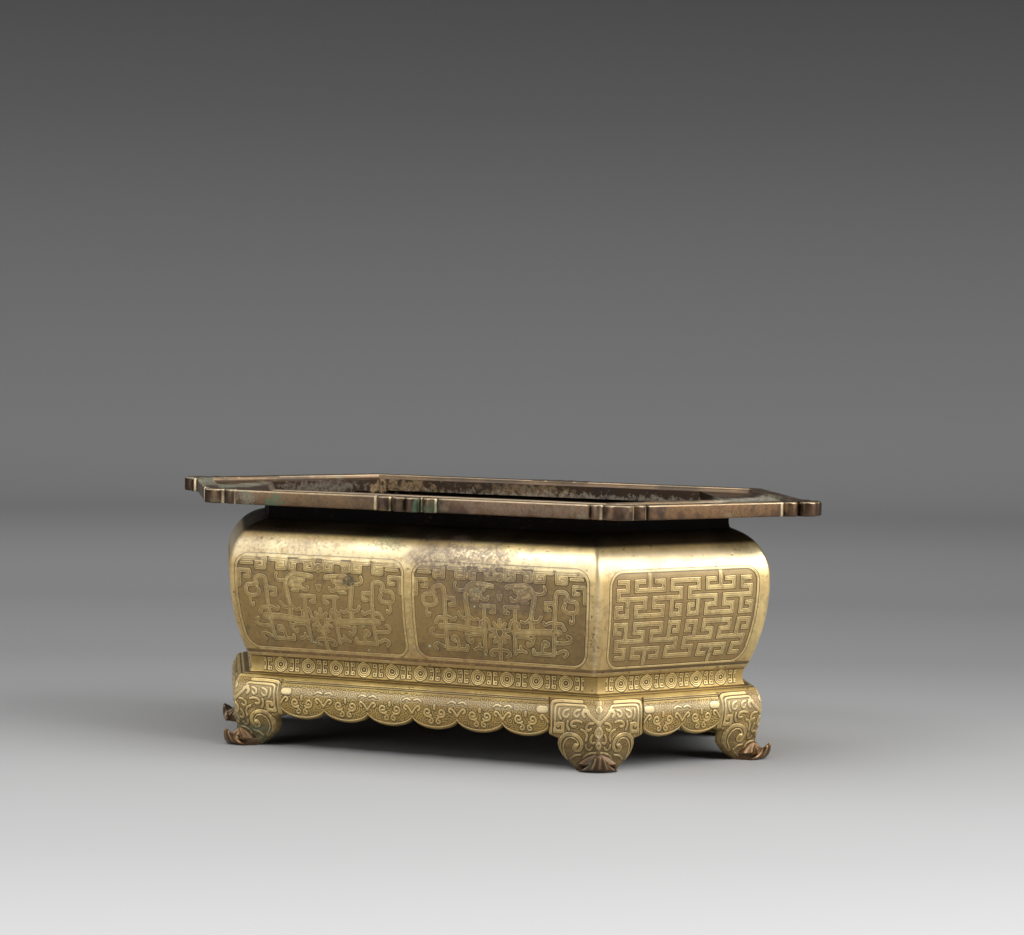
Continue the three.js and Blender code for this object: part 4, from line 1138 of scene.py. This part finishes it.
def body_grid(long_side):
    """Columns from mitre to mitre. Near a mitre the wall is drawn in along a circle, so
    that two walls meet in a rounded corner."""
    spine = body_spine if long_side else 0.0
    outside = even_steps(body_line(), 0.72)
    direction = outward(outside)
    reach = spine + outside[None, :, 0] * np.tan(MITRE_TURN)
    widest = spine + belly_half_depth * np.tan(MITRE_TURN)
    share = np.linspace(-1.0, 1.0, int(2 * widest / 0.72))[:, None]
    drawn, height = np.broadcast_arrays(share * widest, outside[None, :, 1])
    if long_side:
        edge, from_centre = beast_edge(drawn, height)
        gap = panel_gap(from_centre, height - beast_panel_middle, beast_panel_half_width,
                        panel_half_height, beast_panel_corner)
    else:
        edge = fret_edge(drawn, height)
        gap = panel_gap(drawn, height - fret_panel_middle, fret_panel_half_width,
                        panel_half_height, fret_panel_corner)
    field = smooth_step(gap, 0.1, -0.3)
    edge = np.where(gap > -0.3, 5.0, edge)
    edge = np.minimum(edge, np.abs(gap - frame_set_off) - frame_half_width)
    for line_height in foot_line_heights:
        foot_line = np.abs(height - line_height) - 0.1
        edge = np.where(foot_line < 0.6, foot_line, edge)
    sunk = -panel_depth * smooth_step(edge, -0.2, 0.5) * smooth_step(gap, 0.4, -0.2)
    panel_dirt = 0.22 * field * long_side
    low_dirt = 0.16 * smooth_step(height, 68.0, 62.0)
    # Painted shadow: the shoulder above about 143 mm is darkened as the flange's shadow.
    painted_rim_shadow = 1.1 * smooth_step(height, 142.8, 145.4)
    # Painted highlight: a pale band on the shoulder roll, about 123 to 144 mm up.
    painted_sheen = 0.6 * smooth_step(height, 123.0, 133.0) * smooth_step(height, 144.0, 138.0)
    near_mitre = np.clip(corner_round * np.tan(MITRE_TURN) - reach * (1 - np.abs(share)), 0, None)
    near_mitre *= np.cos(MITRE_TURN)
    corner_drop = corner_round - np.sqrt(corner_round ** 2 - near_mitre ** 2)
    depth = outside[None, :, 0] + direction[None, :, 0] * sunk - corner_drop
    rise = height + direction[None, :, 1] * sunk
    coarse = outside[::-1][::9] - body_wall * direction[::-1][::9]
    coarse[:, 1] = np.clip(coarse[:, 1], body_bottom, shoulder_top - body_wall)
    seat = [(seat_edge, shoulder_top - body_wall), (seat_edge, shoulder_top)]
    return with_inside(
        (share * (spine + depth * np.tan(MITRE_TURN)), depth, rise),
        mitred(np.concatenate([coarse, seat]), share, spine), 1.05, {
            "edge": edge,
            "field": field,
            "wear_and_sheen": np.maximum(0.5 * smooth_step(near_mitre, 0.4, 1.8), painted_sheen),
            "grime_and_shade": panel_dirt + low_dirt + painted_rim_shadow,
        })


body_stains = [
    ((-0.03, 0.0, 0.092), (0.25, 0.25, 0.033), 4.2, 125.0, (0.2, 0.125, 0.055), 0.45),
    ((-0.04, -0.1, 0.095), (0.16, 0.07, 0.034), 3.8, 170.0, (0.52, 0.34, 0.1), 0.45),
    ((0.04, -0.116, 0.134), (0.042, 0.02, 0.014), 2.4, 60.0, (0.2, 0.135, 0.11), 0.65),
    ((0.064, -0.12, 0.114), (0.045, 0.02, 0.018), 1.8, 65.0, (0.15, 0.1, 0.08), 0.6),
    ((-0.018, -0.116, 0.141), (0.012, 0.02, 0.0045), 4.4, 420.0, (0.08, 0.17, 0.1), 0.5),
    ((-0.105, -0.116, 0.139), (0.05, 0.02, 0.008), 3.6, 420.0, (0.2, 0.13, 0.09), 0.3),
    ((-0.044, -0.122, 0.115), (0.006, 0.01, 0.004), 1.4, 200.0, (0.05, 0.05, 0.03), 0.8),
    ((0.0, -0.112, 0.064), (0.14, 0.02, 0.005), 3.0, 90.0, (0.46, 0.24, 0.08), 0.4)]
fleck_places = [(-0.106, 0.087), (-0.074, 0.072), (-0.036, 0.0855), (-0.034, 0.069),
                (0.012, 0.0745), (0.047, 0.103), (0.052, 0.071)]
body_stains += [((x, -0.118, z), (0.0011, 0.01, 0.0009), 0.6, 900.0, (0.5, 0.62, 0.4), 0.9)
                for x, z in fleck_places]
body_bronze = bronze_material(
    "body_bronze", metal=gold_tone, tarnish=(0.52, 0.35, 0.14), crust=(0.28, 0.4, 0.26),
    amounts=(0.8, 0.45, 1.0), polish=0.36, wear_and_sheen_tone=pale_wear_and_sheen_tone,
    chased=chasing((0.34, 0.22, 0.08), line_depth=0.8, field_amount=0.8,
                   spiral_amount=0.16, spirals=500.0),
    stains=body_stains, wax=0.4)
add_bars("body_wall_panel_", "body_wall_", body_grid, body_spine, body_bronze, "body_bronze")

# Neck
# A plain upright collar of six cast bars that stands on the shoulder and carries the
# flange. It lies in the shade of the flange, and its metal is painted nearly black as that shade.

neck_spine = body_spine + 3.0
neck_wall = 5.5
neck_hollow = 0.9
rim_underside = 163.0


def neck_grid(long_side):
    """A collar section, hollowed a little by a sine outside, from mitre to mitre."""
    spine = neck_spine if long_side else 0.0
    rise = np.linspace(0.0, 1.0, 14)
    outside = np.stack([
        neck_half_depth - neck_hollow * np.sin(np.pi * rise),
        shoulder_top + (rim_underside - shoulder_top) * rise], -1)
    inside = np.stack([
        np.full(6, neck_half_depth - neck_wall),
        np.linspace(rim_underside, shoulder_top, 6)], -1)
    section = np.concatenate([outside, inside])
    share = np.linspace(-1.0, 1.0, 120)[:, None]
    along, depth, height = mitred(section, share, spine)
    seam = smooth_step(np.abs(share), 0.975, 0.995) * (depth < neck_half_depth - 4.0)
    return along, depth, height, {"wear_and_sheen": 0.8 * seam}


ochre_soil = (0.36, 0.24, 0.12)
pale_soil = (0.5, 0.44, 0.34)
well_stains = [
    ((-0.11, 0.08, 0.166), (0.035, 0.008, 0.007), 4.5, 200.0, ochre_soil, 0.85),
    ((-0.15, 0.035, 0.166), (0.03, 0.04, 0.006), 4.0, 260.0, pale_soil, 0.25),
    ((-0.01, 0.083, 0.1665), (0.04, 0.004, 0.006), 4.5, 240.0, ochre_soil, 0.6),
    ((0.05, 0.083, 0.162), (0.14, 0.004, 0.0045), 4.5, 330.0, pale_soil, 0.5)]
# Painted shade: the neck's metal and tarnish are nearly black, as the shade under the flange.
neck_bronze = bronze_material(
    "neck_bronze", metal=(0.009, 0.006, 0.005), tarnish=(0.005, 0.004, 0.004),
    crust=(0.05, 0.04, 0.03), amounts=(0.8, 0.2, 0.8), polish=0.62, wear_and_sheen_tone=(0.4, 0.3, 0.2),
    stains=well_stains, wax=0.0)
add_bars("neck_bar_", "neck_wall_", neck_grid, neck_spine, neck_bronze, "neck_bronze")

# Rim
# One broad flange of six cast bars. Its edge is lobed in clouds at the corners and at
# the middle of the long sides, and its top has a raised band, a cove down to a sunk
# flat, and a lip round the mouth.

rim_top = 172.6
mouth_half_depth = 84.0
rim_half_depth = 127.0
rim_end_angle = np.radians(57.5)
neck_half_length = neck_half_depth / np.cos(MITRE_TURN) + neck_spine
mouth_half_length = neck_half_length - 6.3
rim_half_length = neck_half_length + 56.2
rim_band = 9.0
rim_cove = 5.5
rim_recess = 4.2
cove_step = 1.2
mouth_lip = 3.2
mouth_lip_rise = 3.0
under_round = 0.9
top_round = 1.3
tip_lobe_centre = np.array([3.5, 1.8])
tip_lobe_radius = 6.5
small_lobe = (5.4, 1.0)
middle_lobe = (4.7, -1.6)
corner_lobe_radius = 10.0
corner_lobe_drop = 9.75
corner_lobe_end = np.radians(44.0)
step_half_width = 4.7
step_rise = 2.4


def hexagon(half_depth, half_length, end_angle):
    """Corners of an elongated hexagon from the front left one, counterclockwise."""
    shoulder = half_length - half_depth / np.tan(end_angle)
    return np.array([
        (-shoulder, -half_depth), (shoulder, -half_depth), (half_length, 0.0),
        (shoulder, half_depth), (-shoulder, half_depth), (-half_length, 0.0)])


mouth_corners = hexagon(mouth_half_depth, mouth_half_length, np.pi / 3)
rim_corners = hexagon(rim_half_depth, rim_half_length, rim_end_angle)


def arc(centre_u, centre_v, radius, start, end, steps=16):
    """Points of a circle about a centre, from one angle to another."""
    angle = np.linspace(start, end, steps)
    return np.stack([centre_u + radius * np.cos(angle), centre_v + radius * np.sin(angle)], -1)


def edge_lobe(along, radius, set_in):
    """A lobe on the edge line: the part of a circle outside it."""
    foot = np.arcsin(set_in / radius)
    return arc(along, -set_in, radius, np.pi - foot, foot)


def tip_lobes(mitre_angle):
    """The lobe of one side at a tip, from its crease on the mitre line, and a small one."""
    centre = tip_lobe_centre
    mitre = np.array([-np.cos(mitre_angle), np.sin(mitre_angle)])
    near = centre @ mitre
    crease = mitre * (near + np.sqrt(tip_lobe_radius ** 2 - (centre @ centre - near ** 2)))
    start = np.arctan2(*(crease - centre)[::-1])
    foot = np.arcsin(-centre[1] / tip_lobe_radius)
    return np.concatenate([
        arc(*centre, tip_lobe_radius, start, foot), edge_lobe(16.2, *small_lobe)])


def corner_lobes(mitre_angle):
    """Half of the round lobe about a corner, then a small lobe and a step to the edge."""
    round_half = arc(corner_lobe_drop / np.tan(mitre_angle), -corner_lobe_drop,
                     corner_lobe_radius, np.pi - mitre_angle, corner_lobe_end)
    crease = round_half[-1]
    radius = (step_half_width ** 2 + step_rise ** 2) / (2 * step_rise)
    small = edge_lobe(0.0, radius, radius - step_rise) + [crease[0] + step_half_width, crease[1]]
    return np.concatenate([round_half, small[1:], [(crease[0] + 2 * step_half_width, 0.0)]])


def middle_lobes(centre):
    """Two lobes to each side of the middle of a long edge."""
    half = np.concatenate([edge_lobe(centre - 16.6, *small_lobe),
                           edge_lobe(centre - 4.4, *middle_lobe)])
    other = half[::-1] * [-1.0, 1.0] + [2 * centre, 0.0]
    return np.concatenate([half, other])


def rim_side(side):
    """Edge points of one side, each point's share of the way along it, and the side's
    number at each point."""
    start, end = rim_corners[side], rim_corners[(side + 1) % 6]
    length = np.hypot(*(end - start))
    along = (end - start) / length
    out = np.array([along[1], -along[0]])

    def mitre_angle(corner, sign):
        """The angle between the edge and the mitre line at one of its corners."""
        mitre = mouth_corners[corner] - rim_corners[corner]
        return np.arccos(sign * (mitre @ along) / np.hypot(*mitre))

    first = tip_lobes if side % 3 == 2 else corner_lobes
    last = tip_lobes if (side + 1) % 3 == 2 else corner_lobes
    ending = last(mitre_angle((side + 1) % 6, -1.0))[::-1] * [-1.0, 1.0] + [length, 0.0]
    parts = [first(mitre_angle(side, 1.0))]
    if is_long(side):
        parts.append(middle_lobes(length / 2))
    flat = even_steps(np.concatenate(parts + [ending]), 0.62)
    share = np.maximum.accumulate(np.clip(flat[:, 0] / length, 0.0, 1.0))
    share = 0.8 * share + 0.2 * np.linspace(0.0, 1.0, len(flat))
    share = (share - share[0]) / (share[-1] - share[0])
    plan = start + flat[:, :1] * along + flat[:, 1:] * out
    return plan[:-1], share[:-1], np.full(len(flat) - 1, side)


def softened(plan, side, reach=7):
    """The edge near a round corner lobe's middle, averaged with its neighbours, which
    takes out the slight crease where two sides' halves of the lobe meet."""
    starts = np.flatnonzero(np.diff(side, prepend=side[-1]))
    steps = (np.arange(len(plan))[:, None] - starts[None, :] + len(plan) // 2) % len(plan)
    near = np.abs(steps - len(plan) // 2) < reach
    near[:, [2, 5]] = False
    for _ in range(30):
        mean = (np.roll(plan, 1, axis=0) + plan + np.roll(plan, -1, axis=0)) / 3
        plan = np.where(near.any(axis=1)[:, None], mean, plan)
    return plan


def ring_line(half_depth, share, side):
    """Points on the hexagon between mouth and edge that a half depth picks out."""
    blend = (half_depth - mouth_half_depth) / (rim_half_depth - mouth_half_depth)
    corners = mouth_corners + (rim_corners - mouth_corners) * blend
    return corners[side] + (corners[(side + 1) % 6] - corners[side]) * share[:, None]


def rim_points():
    """Rings round the section at each place on the edge: underside, rounded edge, band,
    step, cove, sunk flat, lip and mouth."""
    plan, share, side = (np.concatenate(part) for part in zip(*[rim_side(n) for n in range(6)]))
    plan = softened(plan, side)
    run = np.roll(plan, -1, axis=0) - np.roll(plan, 1, axis=0)
    run /= np.maximum(np.hypot(run[:, 0], run[:, 1]), 1e-6)[:, None]
    out = np.stack([run[:, 1], -run[:, 0]], -1)
    before, after = np.roll(run, 1, axis=0), np.roll(run, -1, axis=0)
    bend = before[:, 0] * after[:, 1] - before[:, 1] * after[:, 0]
    rows, marks = [], []

    def add_row(points, height, wear_and_sheen=0.0, grime_and_shade=0.0):
        """One line of the section all round the rim, with its wear and grime values, which also
        carry painted highlight and painted shade.
        """
        rows.append(np.concatenate([points, np.full((len(points), 1), height)], axis=1))
        marks.append([wear_and_sheen + 0.0 * bend, grime_and_shade + 0.0 * bend])

    # Painted shade at the lobes: dark in each crease, beside it, and on lobe sides turned away from
    # the side's face. A pale line beside each crease is painted highlight as well as wear.
    painted_lobe_shade = smooth_step(-bend, 0.15, 0.6)
    beside = np.maximum(np.roll(painted_lobe_shade, -2), np.roll(painted_lobe_shade, -3)) * (1 - painted_lobe_shade)
    hollow = 0.55 * np.maximum(np.roll(painted_lobe_shade, 2), np.roll(painted_lobe_shade, 3))
    facing = rim_corners[(side + 1) % 6] - rim_corners[side]
    facing /= np.hypot(facing[:, 0], facing[:, 1])[:, None]
    turned_away = 1.0 - (out[:, 0] * facing[:, 1] - out[:, 1] * facing[:, 0])
    painted_flank_shade = 0.7 * smooth_step(turned_away, 0.04, 0.45)
    painted_lobe_shade = np.maximum(np.maximum(painted_lobe_shade, hollow), painted_flank_shade) * (1 - beside)
    band_start = rim_half_depth - rim_band
    # Painted shade: the flange's underside is darkened as the shade under it.
    add_row(ring_line(mouth_half_depth, share, side), rim_underside, 0.0, 0.8)
    add_row(ring_line(band_start, share, side), rim_underside, 0.0, 0.8)
    for angle in np.linspace(-np.pi / 2, 0.0, 5):
        add_row(plan - out * under_round * (1 - np.cos(angle)),
                rim_underside + under_round * (1 + np.sin(angle)), beside, painted_lobe_shade)
    for angle in np.linspace(0.0, np.pi / 2, 7):
        add_row(plan - out * top_round * (1 - np.cos(angle)),
                rim_top - top_round * (1 - np.sin(angle)),
                np.maximum(0.6 * np.sin(2 * angle), beside), painted_lobe_shade)
    inner_band = ring_line(band_start, share, side)
    for blend in (0.35, 0.7, 0.93):
        add_row((plan - out * top_round) * (1 - blend) + inner_band * blend, rim_top, 0.0, 0.25)
    add_row(inner_band, rim_top - 0.35, 0.4)
    recess = rim_top - rim_recess
    cove_height = rim_recess - cove_step
    # Painted shade: the cove is darkened throughout, most at its foot where it meets the sunk flat.
    for angle in np.linspace(0.0, np.pi / 2, 8):
        add_row(ring_line(band_start - rim_cove * (1 - np.cos(angle)), share, side),
                recess + cove_height * (1 - np.sin(angle)), 0.1 * np.cos(angle),
                0.36 + 0.4 * np.sin(angle) ** 8)
    for half_depth in np.linspace(band_start - rim_cove, mouth_half_depth + mouth_lip, 6)[1:-1]:
        add_row(ring_line(half_depth, share, side), recess, 0.0, 0.2)
    for angle in np.linspace(0.0, np.pi / 2, 8):
        add_row(ring_line(mouth_half_depth + mouth_lip * np.cos(angle), share, side),
                recess + mouth_lip_rise * np.sin(angle), 0.4 * np.sin(2 * angle))
    for height in np.linspace(recess + mouth_lip_rise - 0.6, rim_underside + 1.0, 6):
        add_row(ring_line(mouth_half_depth, share, side), height, 0.0, 0.9)
    wear_and_sheen, grime_and_shade = np.moveaxis(np.array(marks), 1, 0).transpose(0, 2, 1)
    return np.stack(rows, axis=1), {"wear_and_sheen": wear_and_sheen, "grime_and_shade": grime_and_shade}


verdigris = (0.07, 0.17, 0.095)
pale_crust = (0.3, 0.31, 0.22)
rim_stains = well_stains + [
    ((-0.05, -0.127, 0.168), (0.08, 0.009, 0.008), 5.0, 120.0, (0.22, 0.14, 0.06), 0.5),
    ((0.09, -0.127, 0.168), (0.07, 0.009, 0.008), 5.0, 120.0, (0.25, 0.18, 0.12), 0.45),
    ((0.19, -0.06, 0.168), (0.05, 0.06, 0.008), 5.0, 120.0, (0.3, 0.16, 0.055), 0.5),
    ((-0.2, -0.055, 0.1735), (0.05, 0.075, 0.003), 2.2, 110.0, pale_crust, 0.8),
    ((-0.19, -0.02, 0.1684), (0.016, 0.05, 0.003), 2.4, 90.0, pale_crust, 0.7),
    ((-0.12, -0.128, 0.168), (0.008, 0.007, 0.007), 3.6, 300.0, pale_crust, 0.5),
    ((-0.1, -0.128, 0.1655), (0.008, 0.007, 0.006), 4.2, 340.0, verdigris, 0.65),
    ((0.008, -0.13, 0.166), (0.003, 0.007, 0.007), 1.6, 260.0, verdigris, 0.7),
    ((0.018, -0.13, 0.165), (0.007, 0.007, 0.006), 3.4, 330.0, verdigris, 0.5),
    ((0.178, 0.03, 0.1684), (0.034, 0.075, 0.0045), 1.0, 70.0, (0.42, 0.39, 0.3), 0.9),
    ((0.178, 0.02, 0.1684), (0.012, 0.04, 0.002), 2.8, 90.0, (0.06, 0.06, 0.06), 0.7)]
rim_bronze = bronze_material(
    "rim_bronze", metal=(0.145, 0.083, 0.046), tarnish=(0.055, 0.033, 0.024),
    crust=(0.24, 0.26, 0.18), amounts=(0.95, 0.5, 0.8), polish=0.27, wear_and_sheen_tone=(0.8, 0.64, 0.4),
    stains=rim_stains, wax=0.1)
rim_mesh = loop_mesh("rim", *rim_points(), closed=True)
add_piece("rim_flange", rim_mesh, rim_bronze, "rim_bronze",
          *["rim_" + name for name in side_names])

bpy.context.view_layer.update()
